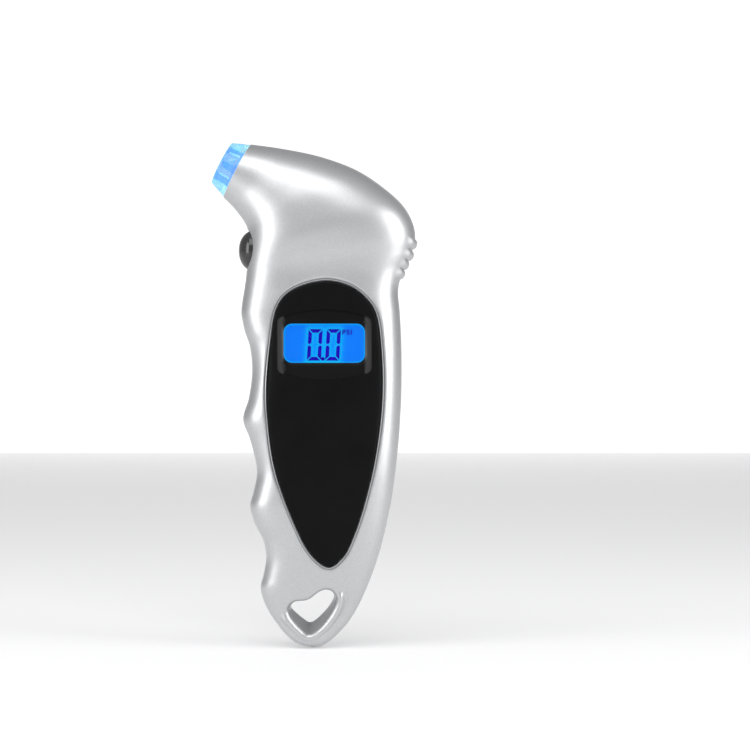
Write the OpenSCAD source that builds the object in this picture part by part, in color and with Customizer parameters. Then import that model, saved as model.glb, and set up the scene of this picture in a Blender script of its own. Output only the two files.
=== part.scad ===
// Digital tyre pressure gauge with a pistol grip, a lit nozzle and a display.
// Z runs along the grip, the display looks towards -Y and the nozzle points
// towards -X. The two case halves meet on the plane Y = 0.

/* [Overall size] */
// Length from the tail to the top of the nozzle, mm
body_len = 134.9; // [133:0.1:137]
// Width from the nozzle tip to the thumb rest, mm
body_width = 55.1; // [54.5:0.1:56]
// Thickness across the head, mm
body_thick = 26.9; // [26.4:0.1:28]
// Wall of the two case halves, mm
wall = 2; // [1.9:0.05:2.1]

/* [Nozzle] */
// Angle of the nozzle above the horizontal, degrees
nozzle_tilt = 27.7; // [26:0.1:30]
// Length of the clear cap outside the case, mm
cap_len = 4.8; // [4.4:0.1:5.2]
// Radius of the clear cap at its tip, mm
cap_tip_r = 6.1; // [5.9:0.05:6.3]
// Radius of the bore that takes the tyre valve, mm
bore_r = 4.15; // [4.05:0.05:4.3]

/* [Display] */
// Width of the lit window, mm
window_w = 21.4; // [19:0.1:22]
// Height of the lit window, mm
window_h = 10.3; // [9:0.1:11]
// Slant of the figures, degrees
digit_slant = 4; // [0:1:8]

/* [Button] */
// Width of the button across the case, mm
button_w = 12.6; // [11:0.1:13]
// Height of the button along the case, mm
button_h = 10.7; // [9.6:0.1:11.2]
// How far the button stands out of the case, mm
button_rise = 2.6; // [2:0.1:3]
// How far the button travels when it is pressed, mm
button_travel = 0.6; // [0.3:0.1:0.7]

/* [Battery] */
// Diameter of the coin cell, mm
cell_d = 20; // [19:0.5:20]
// Thickness of the coin cell, mm
cell_t = 3.2; // [2.5:0.1:3.2]

/* [Fasteners] */
// Head diameter of the screws, mm
head_d = 4.6; // [4:0.1:4.8]
// Thread diameter of the screws, mm
screw_d = 2.4; // [2.2:0.1:2.5]

/* [Hidden] */
fine = 72;
small = 36;
seam = 0.04;
gap = 0.05;
slip = 0.2;
scale_x = body_width / 55.1;
scale_y = body_thick / 26.9;
scale_z = body_len / 134.9;
ring_n = 36;
outer_steps = 45;
panel_steps = 16;
cover_steps = 14;

// The case is a row of sections that fan from the nozzle round into the grip:
// front x, front z, back x, back z and half thickness of each.
sections = [
    [-24.2, 120.2, -16.75, 134.35, 8.0],
    [-21.4, 117.3, -8.0, 133.1, 9.2],
    [-19.0, 114.2, 2.0, 130.95, 11.1],
    [-17.75, 111.6, 11.6, 127.3, 12.6],
    [-17.5, 109.0, 19.6, 121.9, 13.3],
    [-17.6, 106.0, 24.6, 116.8, 13.42],
    [-17.85, 102.9, 27.0, 110.8, 12.75],
    [-18.1, 99.4, 26.2, 105.3, 11.8],
    [-18.6, 95.6, 23.9, 100.4, 11.4],
    [-19.2, 91.8, 22.5, 95.4, 11.6],
    [-19.37, 88.7, 22.9, 89.5, 11.9],
    [-18.45, 84.2, 23.2, 84.2, 12.2],
    [-17.1, 80.1, 23.35, 79.6, 12.35],
    [-16.52, 73.7, 23.4, 73.7, 12.4],
    [-17.4, 66.6, 23.3, 66.8, 12.35],
    [-18.93, 60.9, 23.0, 60.9, 12.2],
    [-17.0, 55.2, 22.6, 55.0, 12.0],
    [-15.25, 47.5, 21.8, 47.5, 11.7],
    [-16.15, 41.6, 21.05, 41.6, 11.3],
    [-17.05, 37.8, 20.4, 37.8, 11.0],
    [-15.8, 33.0, 19.4, 33.0, 10.5],
    [-13.6, 28.7, 18.4, 28.7, 9.95],
    [-12.77, 24.0, 17.1, 24.0, 9.35],
    [-13.5, 19.3, 15.55, 19.5, 8.7],
    [-14.28, 15.9, 14.05, 15.7, 8.1],
    [-13.4, 12.2, 12.3, 11.8, 7.3],
    [-11.7, 8.8, 9.9, 7.6, 6.4],
    [-9.1, 5.1, 7.4, 4.5, 5.8],
    [-6.1, 1.9, 4.6, 1.85, 5.0],
    [-3.0, 0.35, 2.2, 0.35, 3.2],
    [-0.9, 0.0, 0.3, 0.0, 0.9]
];
last_section = len(sections) - 1;
// How square each section is: 1 is an ellipse, less is squarer.
squareness = [[0, 1], [1, 0.98], [4, 0.84], [8, 0.64], [10, 0.58], [20, 0.58], [26, 0.72], [30, 0.9]];

// The front panel's outline, as a smooth closed curve through these points.
panel_points = [
    [2.2, 97.3], [-5.7, 94.9], [-9.8, 90.0], [-11.4, 81.0], [-12.4, 70.0],
    [-12.1, 61.0], [-10.8, 50.5], [-8.4, 41.8], [-4.6, 32.2], [-1.0, 25.6],
    [3.7, 22.0], [7.5, 24.6], [9.9, 29.0], [12.7, 37.0], [15.5, 48.3],
    [17.3, 60.0], [17.9, 70.0], [17.5, 80.0], [16.4, 88.0], [13.9, 92.5],
    [9.05, 96.1]
];
panel_t = 1.3;
panel_proud = 0.15;
bezel_w = 26;
bezel_h = 20;
bezel_back = 10.2;
bezel_corner = 1.4;
bezel_margin = 0.3;
dish_floor = 11.2;
window_x = 2.7;
window_z = 81;

nozzle_x = -body_width / 2 + cap_tip_r * sin(nozzle_tilt) + cap_len * cos(nozzle_tilt);
nozzle_z = body_len - cap_tip_r * cos(nozzle_tilt) - cap_len * sin(nozzle_tilt);
cap_base_r = 7.88;
nozzle_hole_r = 8 * scale_y - wall - 0.1;
sleeve_r = 5;
sleeve_back_r = 5.3;
bore_in = -1.8;
sleeve_out = cap_len - 0.6;
seal_in = -4.5;
chamber_r = 4.2;
sleeve_end = -9;
port_end = -15;
spigot_r = 1;
tube_r = 1.7;
tube_bend = 9;
led_r = 1.1;
led_offset = 6.5;
wire_r = 0.45;

button_x = -17.6;
button_z = 105.9;
button_flange = 0.9;
// The flange behind the wall keeps the button in; its back face is at this x.
button_seat = -13.6;
flange_rim = 0.9;
button_hole_len = 10;
button_room = button_travel + 1.4;
switch_w = 5.9;
switch_front = -12;
switch_len = 3.4;
plunger_r = 1.5;

board_y = -4.2;
board_edge = 14.1;
board_t = 1.2;
board_back = board_y + board_t;
glass_front = -9.05;
glass_t = 2.2;
guide_t = 1.6;
glass_w = 25;
glass_h = 15;
frame_w = 27.4;
frame_h = 17.6;
frame_front = -8.3;
board_posts = [[-6, 95.5], [11, 64]];
post_r = 1;
sensor_x = nozzle_x - port_end * cos(nozzle_tilt) + 3 * cos(nozzle_tilt)
    + tube_bend * (1 - sin(nozzle_tilt));
sensor_z = 97.5;
sensor_w = 8;
nipple_len = 3;

cell_x = 3;
cell_z = 46.5;
cell_y = 5.5;
floor_y = 4;
cover_t = 1.8;
cover_top_r = 12.4;
cover_low_r = 4.3;
cover_low_z = 21.6;
cover_seat = 6.6;
cover_boss_end = 5.6;
cover_boss_r = 3.3;

boss_r = 3.1;
head_t = 1.7;
// Case screws: x, z and the height of the seat under the head.
case_points = [
    [13, 117, 8.4],
    [17.6, 96, 6.6],
    [17.6, 56, 6.4],
    [3, 30.6, 5.8]
];

// Tail opening for a lanyard: a leaning heart with rounded lobes.
heart_left = [-4.1, 10.1];
heart_right = [3.5, 13.0];
heart_low = [-1.3, 5.6];
heart_r = 2.1;

// Point on a smooth curve between b and c, with a and d as its neighbours.
function smooth(a, b, c, d, t) =
    0.5 * (2 * b + (c - a) * t + (2 * a - 5 * b + 4 * c - d) * t * t
    + (3 * b - a - 3 * c + d) * t * t * t);

function section_at(u) =
    let (i = min(floor(u), last_section - 1))
    smooth(sections[max(i - 1, 0)], sections[i], sections[i + 1],
        sections[min(i + 2, last_section)], u - i);

function power(v, e) = sign(v) * pow(abs(v), e);

// One closed ring of points on section u, with the case drawn in by inset.
function ring_at(u, inset) =
    let (
        s = section_at(u),
        e = lookup(u, squareness),
        f = [s[0] * scale_x, s[1] * scale_z],
        b = [s[2] * scale_x, s[3] * scale_z],
        d = (b - f) / norm(b - f),
        f2 = f + d * inset,
        b2 = b - d * inset,
        h = max(s[4] * scale_y - inset, 0.2)
    )
    [for (k = [0:ring_n - 1])
        let (
            a = 360 * k / ring_n,
            t = (1 - power(cos(a), e)) / 2,
            p = f2 + (b2 - f2) * t
        )
        [p[0], h * power(sin(a), e), p[1]]];

function closed_curve(points, steps) =
    let (n = len(points))
    [for (i = [0:n - 1])
        for (j = [0:steps - 1])
            smooth(points[(i + n - 1) % n], points[i], points[(i + 1) % n],
                points[(i + 2) % n], j / steps)];

// The solid inside the case's outer surface, drawn in by inset.
module case_solid(inset, first, last, steps) {
    rings = [for (i = [0:steps]) ring_at(first + (last - first) * i / steps, inset)];
    points = [for (r = rings) each r];
    sides = [for (i = [0:steps - 1])
        for (k = [0:ring_n - 1])
            let (
                a = i * ring_n + k,
                b = i * ring_n + (k + 1) % ring_n,
                c = a + ring_n,
                d = b + ring_n
            )
            each [[a, c, b], [b, c, d]]];
    total = len(points);
    middles = [for (r = [rings[0], rings[steps]]) (r[0] + r[ring_n / 2]) / 2];
    start = [for (k = [0:ring_n - 1]) [k, (k + 1) % ring_n, total]];
    base = steps * ring_n;
    end = [for (k = [0:ring_n - 1]) [base + (k + 1) % ring_n, base + k, total + 1]];
    polyhedron(concat(points, middles), concat(sides, start, end), convexity = 8);
}

module outer_case() {
    case_solid(0, 0, last_section, outer_steps);
}

module half_space(side) {
    translate([-60, side > 0 ? -seam : seam - 60, -10])
        cube([120, 60, 160]);
}

module across(low, high) {
    translate([0, high, 0])
        rotate([90, 0, 0])
            linear_extrude(high - low)
                children();
}

module at_nozzle(s = 0) {
    translate([nozzle_x, 0, nozzle_z])
        rotate([0, nozzle_tilt - 90, 0])
            translate([0, 0, s])
                children();
}

module rounded_box(w, h, r) {
    hull()
        for (x = [-1, 1], y = [-1, 1])
            translate([x * (w / 2 - r), y * (h / 2 - r)])
                circle(r, $fn = 24);
}

module panel_outline(grow) {
    offset(delta = grow)
        polygon(closed_curve(panel_points, 3));
}

// The block round the display, kept inside the panel's own edge so that the
// opening for it never shows beside the panel.
module bezel_outline(grow) {
    intersection() {
        translate([window_x, window_z])
            rounded_box(bezel_w + 2 * grow, bezel_h + 2 * grow, bezel_corner + grow);
        panel_outline(grow - bezel_margin);
    }
}

module cover_outline(grow) {
    hull() {
        translate([cell_x, cell_z])
            circle(cover_top_r + grow, $fn = fine);
        translate([cell_x, cover_low_z])
            circle(cover_low_r + grow, $fn = small);
    }
}

module heart_outline() {
    hull() {
        translate(heart_left)
            circle(heart_r, $fn = small);
        translate(heart_right)
            circle(heart_r, $fn = small);
        translate(heart_low)
            circle(0.7, $fn = small);
    }
}

module button_outline(grow) {
    hull()
        for (y = [-1, 1])
            translate([y * (button_w - button_h) / 2, 0])
                circle(button_h / 2 + grow, $fn = 48);
}

// Things pointing in at the button: local z runs out of the case, along -X.
module at_button(x) {
    translate([x, 0, button_z])
        rotate([0, -90, 0])
            rotate([0, 0, 90])
                children();
}

module thumb_ribs() {
    for (p = [[27.2, 107.4], [26.2, 104.3], [24.85, 101.8], [23.45, 99.5]])
        for (i = [-2:1])
            hull()
                for (j = [i, i + 1])
                    translate([
                        (p[0] - 0.7 - 0.27 * j * j) * scale_x,
                        3 * j,
                        p[1] * scale_z
                    ])
                        sphere(1.05, $fn = 10);
}

module case_bosses(side) {
    for (p = case_points)
        hull() {
            translate([p[0], side * 0.5, p[1]])
                rotate([90, 0, 0])
                    cylinder(r = boss_r, h = 0.9, center = true, $fn = 24);
            translate([p[0], side * 7.5, p[1]])
                rotate([90, 0, 0])
                    cylinder(r = boss_r + 0.3, h = 1, center = true, $fn = 24);
        }
}

module case_half(side) {
    difference() {
        union() {
            difference() {
                union() {
                    outer_case();
                    thumb_ribs();
                }
                difference() {
                    union() {
                        case_solid(wall, 0.17, 21.5, 32);
                        at_nozzle(-1.7)
                            rotate(5)
                                cylinder(r = nozzle_hole_r, h = 3, $fn = small);
                    }
                    for (s = [-4, -8])
                        at_nozzle(s)
                            difference() {
                                cylinder(r = 12, h = 1);
                                translate([0, 0, -1])
                                    cylinder(r = sleeve_back_r + 0.1, h = 3, $fn = small);
                            }
                    children(0);
                }
            }
            intersection() {
                case_solid(0.4, 0, last_section, last_section);
                case_bosses(side);
            }
        }
        half_space(-side);
        at_button(button_seat)
            linear_extrude(button_hole_len)
                button_outline(slip + gap);
        at_button(button_seat + button_room)
            linear_extrude(button_room + button_flange + gap)
                button_outline(flange_rim + slip);
        across(-20, 20)
            heart_outline();
        children(1);
    }
}

module front_shell() {
    color([0.78, 0.79, 0.8])
        case_half(-1) {
            union() {
                intersection() {
                    across(-14, -5)
                        panel_outline(2);
                    difference() {
                        case_solid(0.4, 8, 24, panel_steps);
                        case_solid(panel_t + wall, 8, 24, panel_steps);
                    }
                }
                for (p = board_posts) {
                    across(-12, board_y - gap)
                        translate(p)
                            circle(post_r + 0.8, $fn = 20);
                    across(-12, board_back + 0.4)
                        translate(p)
                            circle(post_r, $fn = 20);
                }
            }
            union() {
                difference() {
                    across(-16, -5)
                        panel_outline(0.15);
                    case_solid(panel_t, 8, 24, panel_steps);
                }
                across(-14, -5)
                    bezel_outline(slip);
                translate([window_x, 0, window_z])
                    across(frame_front - 0.1, -3)
                        rounded_box(frame_w + 0.4, frame_h + 0.4, 1.2);
                for (p = case_points)
                    translate([p[0], 0.5, p[1]])
                        rotate([90, 0, 0])
                            cylinder(d = screw_d + 0.1, h = 7.5, $fn = 24);
            }
        }
}

module rear_shell() {
    color([0.77, 0.78, 0.79])
        case_half(1) {
            union() {
                intersection() {
                    case_solid(0.4, 12, 26, cover_steps);
                    union() {
                        across(floor_y, 14)
                            translate([cell_x, cell_z])
                                circle(12.2, $fn = fine);
                        difference() {
                            across(3, 14)
                                cover_outline(1.6);
                            case_solid(cover_t + 1.6, 12, 26, cover_steps);
                        }
                    }
                }
            }
            union() {
                difference() {
                    across(2, 16)
                        cover_outline(slip);
                    case_solid(cover_t + 0.05, 12, 26, cover_steps);
                }
                across(floor_y + 1.15, 16)
                    translate([cell_x, cell_z])
                        circle(d = cell_d + 0.7, $fn = fine);
                across(cover_boss_end - 0.1, 16)
                    translate([cell_x, cover_low_z])
                        circle(cover_boss_r + slip, $fn = small);
                across(0.4, 16)
                    translate([cell_x, cover_low_z])
                        circle(d = screw_d + 0.1, $fn = 24);
                for (p = case_points) {
                    across(-1, 16)
                        translate([p[0], p[1]])
                            circle(d = screw_d + 0.2, $fn = 24);
                    across(p[2], 16)
                        translate([p[0], p[1]])
                            circle(d = head_d + 0.6, $fn = 32);
                }
                for (x = [-6, 6])
                    across(floor_y - 0.5, floor_y + 2)
                        translate([cell_x + x, cell_z + 7])
                            circle(0.9, $fn = 20);
            }
        }
}

module face_panel() {
    color([0.05, 0.05, 0.055])
        difference() {
            union() {
                difference() {
                    intersection() {
                        across(-16, -5)
                            panel_outline(0);
                        case_solid(-panel_proud, 8, 24, panel_steps);
                    }
                    case_solid(panel_t - 0.05, 8, 24, panel_steps);
                }
                across(-dish_floor - 0.1, -bezel_back)
                    bezel_outline(0);
            }
            translate([window_x, 0, window_z])
                across(-14, -dish_floor)
                    dish_outline();
            translate([window_x, 0, window_z])
                across(-14, -5)
                    rounded_box(window_w, window_h, 2.2);
        }
}

// Barrel-shaped dish round the window: flat sides, bowed top and bottom.
module dish_outline() {
    intersection() {
        rounded_box(24.6, 19, 3);
        translate([0, -24.6])
            circle(33.4, $fn = 160);
        translate([0, 23.8])
            circle(33.6, $fn = 160);
    }
}

module display_lens() {
    color([0.75, 0.85, 0.95, 0.4])
        translate([window_x, 0, window_z])
            across(-bezel_back + gap, -bezel_back + 0.95)
                rounded_box(window_w + 2.4, window_h + 2.4, 1.5);
}

// One bar of a figure, with pointed ends, along x.
module bar(len) {
    polygon([
        [-len / 2, 0], [-len / 2 + 0.5, 0.5], [len / 2 - 0.5, 0.5],
        [len / 2, 0], [len / 2 - 0.5, -0.5], [-len / 2 + 0.5, -0.5]
    ]);
}

// A nought made of six bars, 3.6 wide and 7.9 high.
module nought() {
    for (y = [-3.6, 3.6])
        translate([0, y])
            bar(2.4);
    for (x = [-1.45, 1.45], y = [-1.8, 1.8])
        translate([x, y])
            rotate(90)
                bar(3.3);
}

module lcd_figures() {
    color([0.04, 0.03, 0.5])
        translate([window_x, 0, window_z])
            across(glass_front - 0.13, glass_front - gap)
                rotate(-digit_slant) {
                    translate([-2.5, -0.3])
                        nought();
                    translate([2.3, -0.3])
                        nought();
                    translate([-0.1, -4])
                        circle(0.5, $fn = 20);
                }
}

module lcd_glass() {
    color([0.1, 0.6, 1])
        translate([window_x - glass_w / 2, glass_front, window_z - glass_h / 2])
            cube([glass_w, glass_t, glass_h]);
}

module light_guide() {
    color([0.5, 0.8, 1])
        translate([window_x - glass_w / 2, glass_front + glass_t + gap, window_z - 5.6])
            cube([glass_w, guide_t, glass_h / 2 + 5.6]);
}

module contact_strip() {
    color([0.85, 0.45, 0.5])
        translate([window_x - glass_w / 2, glass_front + glass_t + gap, window_z - glass_h / 2])
            cube([glass_w, board_y - gap - (glass_front + glass_t + gap), 1.6]);
}

module lcd_frame() {
    color([0.93, 0.93, 0.9])
        translate([window_x, 0, window_z])
            difference() {
                across(frame_front, board_y - gap)
                    rounded_box(frame_w, frame_h, 1);
                across(-9, board_y)
                    square([glass_w + 0.3, glass_h + 0.3], center = true);
            }
}

module backlight_led() {
    color([0.8, 0.9, 1])
        translate([window_x - 1.5, glass_front + glass_t + guide_t + 2 * gap, window_z + 2])
            cube([3, 0.85, 1.6]);
}

module circuit_board() {
    color([0.05, 0.3, 0.15])
        difference() {
            across(board_y, board_back)
                polygon([
                    [-6, 40], [12, 40], [board_edge, 60], [board_edge, 111],
                    [-11.5, 111], [-11.5, 100], [-9, 97.5], [-9, 60]
                ]);
            for (p = board_posts)
                across(board_y - 1, board_back + 1)
                    translate(p)
                        circle(post_r + 0.15, $fn = 24);
        }
}

module chip(x, z, w, h, t) {
    translate([x - w / 2, board_back + gap, z - h / 2])
        cube([w, t, h]);
}

module controller_chip() {
    color([0.06, 0.06, 0.07])
        translate([1, 0, 84])
            across(board_back + gap, board_back + 1.5)
                circle(5.5, $fn = 48);
}

module amplifier_chip() {
    color([0.08, 0.08, 0.09])
        chip(9.5, 98, 5, 4, 1.4);
}

module board_parts() {
    color([0.6, 0.45, 0.3]) {
        for (i = [0:4])
            chip(-5.5 + 3.2 * i, 73, 1.6, 0.9, 0.7);
        for (i = [0:3])
            chip(11, 72 + 4 * i, 0.9, 1.6, 0.7);
        for (i = [0:2])
            chip(-6, 86 + 3 * i, 1.2, 1.2, 0.9);
    }
}

module pressure_sensor() {
    color([0.9, 0.9, 0.88]) {
        translate([sensor_x - sensor_w / 2, board_back + gap, sensor_z])
            cube([sensor_w, 4.6, sensor_w]);
        translate([sensor_x, 0, sensor_z + sensor_w - 0.1])
            cylinder(r = spigot_r, h = nipple_len, $fn = small);
    }
}

module air_tube() {
    bend_x = sensor_x - tube_bend;
    bend_z = nozzle_z + (port_end - 3) * sin(nozzle_tilt) - tube_bend * cos(nozzle_tilt);
    low = sensor_z + sensor_w + 0.4;
    color([0.85, 0.85, 0.82])
        difference() {
            union() {
                translate([bend_x, 0, bend_z])
                    rotate([90, 0, 0])
                        rotate_extrude(angle = 90 - nozzle_tilt, $fn = fine)
                            translate([tube_bend, 0])
                                circle(tube_r, $fn = small);
                translate([sensor_x, 0, low])
                    cylinder(r = tube_r + 0.25, h = bend_z - low + 0.6, $fn = small);
                at_nozzle(port_end - 3.6)
                    cylinder(r = tube_r + 0.25, h = 3.4, $fn = small);
            }
            translate([sensor_x, 0, low - 1])
                cylinder(r = spigot_r + gap, h = 4, $fn = small);
            at_nozzle(port_end - 3.1)
                cylinder(r = spigot_r + gap, h = 5, $fn = small);
        }
}

module pressure_port() {
    color([0.2, 0.22, 0.25])
        at_nozzle()
            difference() {
                union() {
                    translate([0, 0, port_end])
                        cylinder(r = sleeve_back_r, h = sleeve_end - gap - port_end, $fn = fine);
                    translate([0, 0, port_end - 2.9])
                        cylinder(r = spigot_r, h = 3, $fn = small);
                }
                translate([0, 0, port_end - 4])
                    cylinder(r = 0.45, h = 8, $fn = 24);
                translate([0, 0, port_end + 3])
                    cylinder(r = 3, h = 8, $fn = small);
            }
}

module chuck_sleeve() {
    color([0.1, 0.45, 0.95, 0.8])
        at_nozzle()
            rotate_extrude($fn = fine)
                polygon([
                    [bore_r, bore_in],
                    [bore_r, sleeve_out],
                    [sleeve_r - 0.3, sleeve_out],
                    [sleeve_r, sleeve_out - 0.3],
                    [sleeve_r, -1.2],
                    [sleeve_back_r, -1.2],
                    [sleeve_back_r, sleeve_end],
                    [chamber_r, sleeve_end],
                    [chamber_r, seal_in - 0.8],
                    [2.4, seal_in - 0.8],
                    [2.4, seal_in],
                    [bore_r + 0.55, seal_in],
                    [bore_r + 0.55, bore_in]
                ]);
}

module nozzle_cap() {
    color([0.75, 0.93, 1, 0.5])
        at_nozzle()
            rotate_extrude($fn = fine)
                polygon([
                    [sleeve_r + 0.1, -1.1],
                    [5.8, -1.1],
                    [5.8, gap],
                    [cap_base_r - 0.1, gap],
                    [cap_base_r, 0.2],
                    [cap_tip_r + 0.1, cap_len - 0.25],
                    [cap_tip_r - 0.1, cap_len],
                    [sleeve_r + 0.5, cap_len],
                    [sleeve_r + 0.1, cap_len - 0.5]
                ]);
}

module valve_seal() {
    color([0.1, 0.12, 0.2])
        at_nozzle()
            rotate_extrude($fn = fine)
                polygon([
                    [2.3, seal_in + gap],
                    [bore_r + 0.5, seal_in + gap],
                    [bore_r + 0.5, bore_in - gap],
                    [3, bore_in - gap],
                    [2.3, bore_in - 0.6]
                ]);
}

module depressor_pin() {
    color([0.2, 0.4, 0.75])
        at_nozzle()
            rotate_extrude($fn = small)
                polygon([
                    [0, sleeve_end + 0.6],
                    [1.7, sleeve_end + 0.6],
                    [1.7, seal_in - 2.2],
                    [chamber_r - 0.1, seal_in - 2.2],
                    [chamber_r - 0.1, seal_in - 0.9],
                    [1.7, seal_in - 0.9],
                    [1.7, bore_in - 0.5],
                    [1.35, bore_in - 0.2],
                    [0, bore_in - 0.2]
                ]);
}

module nozzle_leds() {
    color([0.7, 0.85, 1])
        at_nozzle()
            for (y = [-1, 1])
                translate([0, y * led_offset, -12]) {
                    cylinder(r = led_r, h = 2.4, $fn = 24);
                    translate([0, 0, 2.4])
                        sphere(led_r, $fn = 24);
                }
}

// An insulated wire through a list of points.
module wire(points) {
    for (i = [0:len(points) - 2])
        hull()
            for (p = [points[i], points[i + 1]])
                translate(p)
                    sphere(wire_r, $fn = 8);
}

module led_wires() {
    lead_x = nozzle_x + 12.6 * cos(nozzle_tilt);
    lead_z = nozzle_z - 12.6 * sin(nozzle_tilt);
    color([0.75, 0.1, 0.1]) {
        wire([
            [lead_x, led_offset, lead_z], [-7.6, 5.4, 118.5], [-7.5, 3, 115],
            [-7.5, -0.6, 111.6], [-7.5, board_back + wire_r + gap, 109.4]
        ]);
        wire([
            [lead_x, -led_offset, lead_z], [-7.4, -6.4, 119], [-6, -6.2, 115.6],
            [-5.2, -5.6, 112.4], [-5, board_y - wire_r - gap, 109.4]
        ]);
    }
}

module button() {
    color([0.03, 0.03, 0.035])
        union() {
            intersection() {
                at_button(button_seat - 0.1)
                    linear_extrude(button_hole_len)
                        button_outline(0);
                translate([button_x - button_rise + 9.6, 0, button_z])
                    sphere(9.6, $fn = 96);
            }
            at_button(button_seat)
                linear_extrude(button_flange)
                    button_outline(flange_rim);
            at_button(-13.2)
                cylinder(r = 2.2, h = 2, $fn = small);
        }
}

module switch_plunger() {
    color([0.85, 0.85, 0.83])
        at_button(-11.6)
            cylinder(r = plunger_r, h = 1.55, $fn = small);
}

module button_switch() {
    color([0.12, 0.12, 0.13])
        difference() {
            translate([switch_front, board_back + gap, button_z - switch_w / 2])
                cube([switch_len, 2 * (-board_back - gap), switch_w]);
            at_button(switch_front + 1.2)
                cylinder(r = plunger_r + 0.1, h = 3, $fn = small);
        }
}

module coin_cell() {
    color([0.75, 0.76, 0.78])
        translate([cell_x, cell_y, cell_z])
            rotate([-90, 0, 0]) {
                cylinder(d = cell_d - 2.4, h = cell_t, $fn = fine);
                translate([0, 0, 0.5])
                    cylinder(d = cell_d, h = cell_t - 0.5, $fn = fine);
            }
}

module cell_contact() {
    color([0.8, 0.78, 0.7])
        translate([cell_x, floor_y + 1.15 + gap, cell_z])
            rotate([-90, 0, 0])
                difference() {
                    cylinder(r = 6, h = 0.25, $fn = 48);
                    translate([0, 0, -1])
                        cylinder(r = 3, h = 3, $fn = 32);
                }
}

module battery_wires() {
    color([0.7, 0.1, 0.1])
        for (x = [cell_x - 6, cell_x + 6])
            wire([
                [x, board_back + wire_r + gap, 61], [x, -1.4, 58.6], [x, 0.8, 56],
                [x, 2.6, cell_z + 7], [x, cell_y - 0.6, cell_z + 7]
            ]);
}

module battery_cover() {
    color([0.76, 0.77, 0.78])
        difference() {
            union() {
                intersection() {
                    case_solid(0, 12, 26, cover_steps);
                    difference() {
                        across(3, 16)
                            cover_outline(0);
                        case_solid(cover_t, 12, 26, cover_steps);
                    }
                }
                across(cover_boss_end, cover_seat + 1.2)
                    translate([cell_x, cover_low_z])
                        circle(cover_boss_r, $fn = small);
            }
            across(cover_seat, 16)
                translate([cell_x, cover_low_z])
                    circle(d = head_d + 0.5, $fn = small);
            across(0, 16)
                translate([cell_x, cover_low_z])
                    circle(d = screw_d + 0.2, $fn = 24);
        }
}

// A pan-head screw with a cross slot, seated at y, pointing towards -Y.
module screw(shank) {
    rotate([-90, 0, 0])
        difference() {
            union() {
                cylinder(d = head_d, h = head_t, $fn = small);
                translate([0, 0, -shank])
                    cylinder(d = screw_d, h = shank + 0.1, $fn = 24);
            }
            for (a = [0, 90])
                rotate(a)
                    translate([-1.3, -0.3, head_t - 0.8])
                        cube([2.6, 0.6, 2]);
        }
}

module cover_screw() {
    color([0.65, 0.66, 0.68])
        translate([cell_x, cover_seat + gap, cover_low_z])
            screw(5.6);
}

module case_screws() {
    color([0.65, 0.66, 0.68])
        for (p = case_points)
            translate([p[0], p[2] + gap, p[1]])
                screw(p[2] + 6);
}

front_shell();
rear_shell();
face_panel();
display_lens();
lcd_figures();
lcd_glass();
light_guide();
contact_strip();
lcd_frame();
backlight_led();
circuit_board();
controller_chip();
amplifier_chip();
board_parts();
pressure_sensor();
air_tube();
pressure_port();
chuck_sleeve();
nozzle_cap();
valve_seal();
depressor_pin();
nozzle_leds();
led_wires();
button();
switch_plunger();
button_switch();
coin_cell();
cell_contact();
battery_wires();
battery_cover();
cover_screw();
case_screws();
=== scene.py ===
"""A digital tyre pressure gauge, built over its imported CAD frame.

Lengths are worked out in millimetres and turned into metres as each mesh is made.
Z runs up the grip, the display looks towards -Y and the nozzle towards -X.
"""

import math

import bmesh
import bpy
import numpy as np
from mathutils import Matrix, Vector
from mathutils.geometry import delaunay_2d_cdt


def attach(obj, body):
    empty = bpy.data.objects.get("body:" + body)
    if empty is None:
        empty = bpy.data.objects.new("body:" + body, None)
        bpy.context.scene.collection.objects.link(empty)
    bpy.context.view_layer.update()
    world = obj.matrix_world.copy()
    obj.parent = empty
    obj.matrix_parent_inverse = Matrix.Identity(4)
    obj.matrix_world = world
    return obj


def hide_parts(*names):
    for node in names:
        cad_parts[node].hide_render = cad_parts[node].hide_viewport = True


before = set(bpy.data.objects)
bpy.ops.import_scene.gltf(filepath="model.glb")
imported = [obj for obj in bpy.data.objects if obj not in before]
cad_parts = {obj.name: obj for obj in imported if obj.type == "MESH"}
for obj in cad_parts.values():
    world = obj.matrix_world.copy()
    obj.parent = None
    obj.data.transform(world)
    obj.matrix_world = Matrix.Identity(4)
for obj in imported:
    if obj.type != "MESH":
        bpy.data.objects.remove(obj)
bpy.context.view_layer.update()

# ---------------------------------------------------------------------------
# Camera. A level camera in front of the display, standing off to show the gauge
# left of the middle of a square picture, as a studio product shot does.
# ---------------------------------------------------------------------------
stand_off = 0.56
picture_width = 0.2009


def new_object(name, data):
    """An object at the origin, unturned and unscaled, linked into the scene."""
    made = bpy.data.objects.new(name, data)
    bpy.context.scene.collection.objects.link(made)
    return made


camera_data = bpy.data.cameras.new("studio_camera")
camera_data.sensor_width = 36
camera_data.lens = 36 * stand_off / picture_width
camera_data.shift_x = 0.0813
camera = new_object("studio_camera", camera_data)
camera.location = (0, -stand_off, 0.07265)
camera.rotation_euler = (math.pi / 2, 0, 0)
bpy.context.scene.camera = camera

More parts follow.
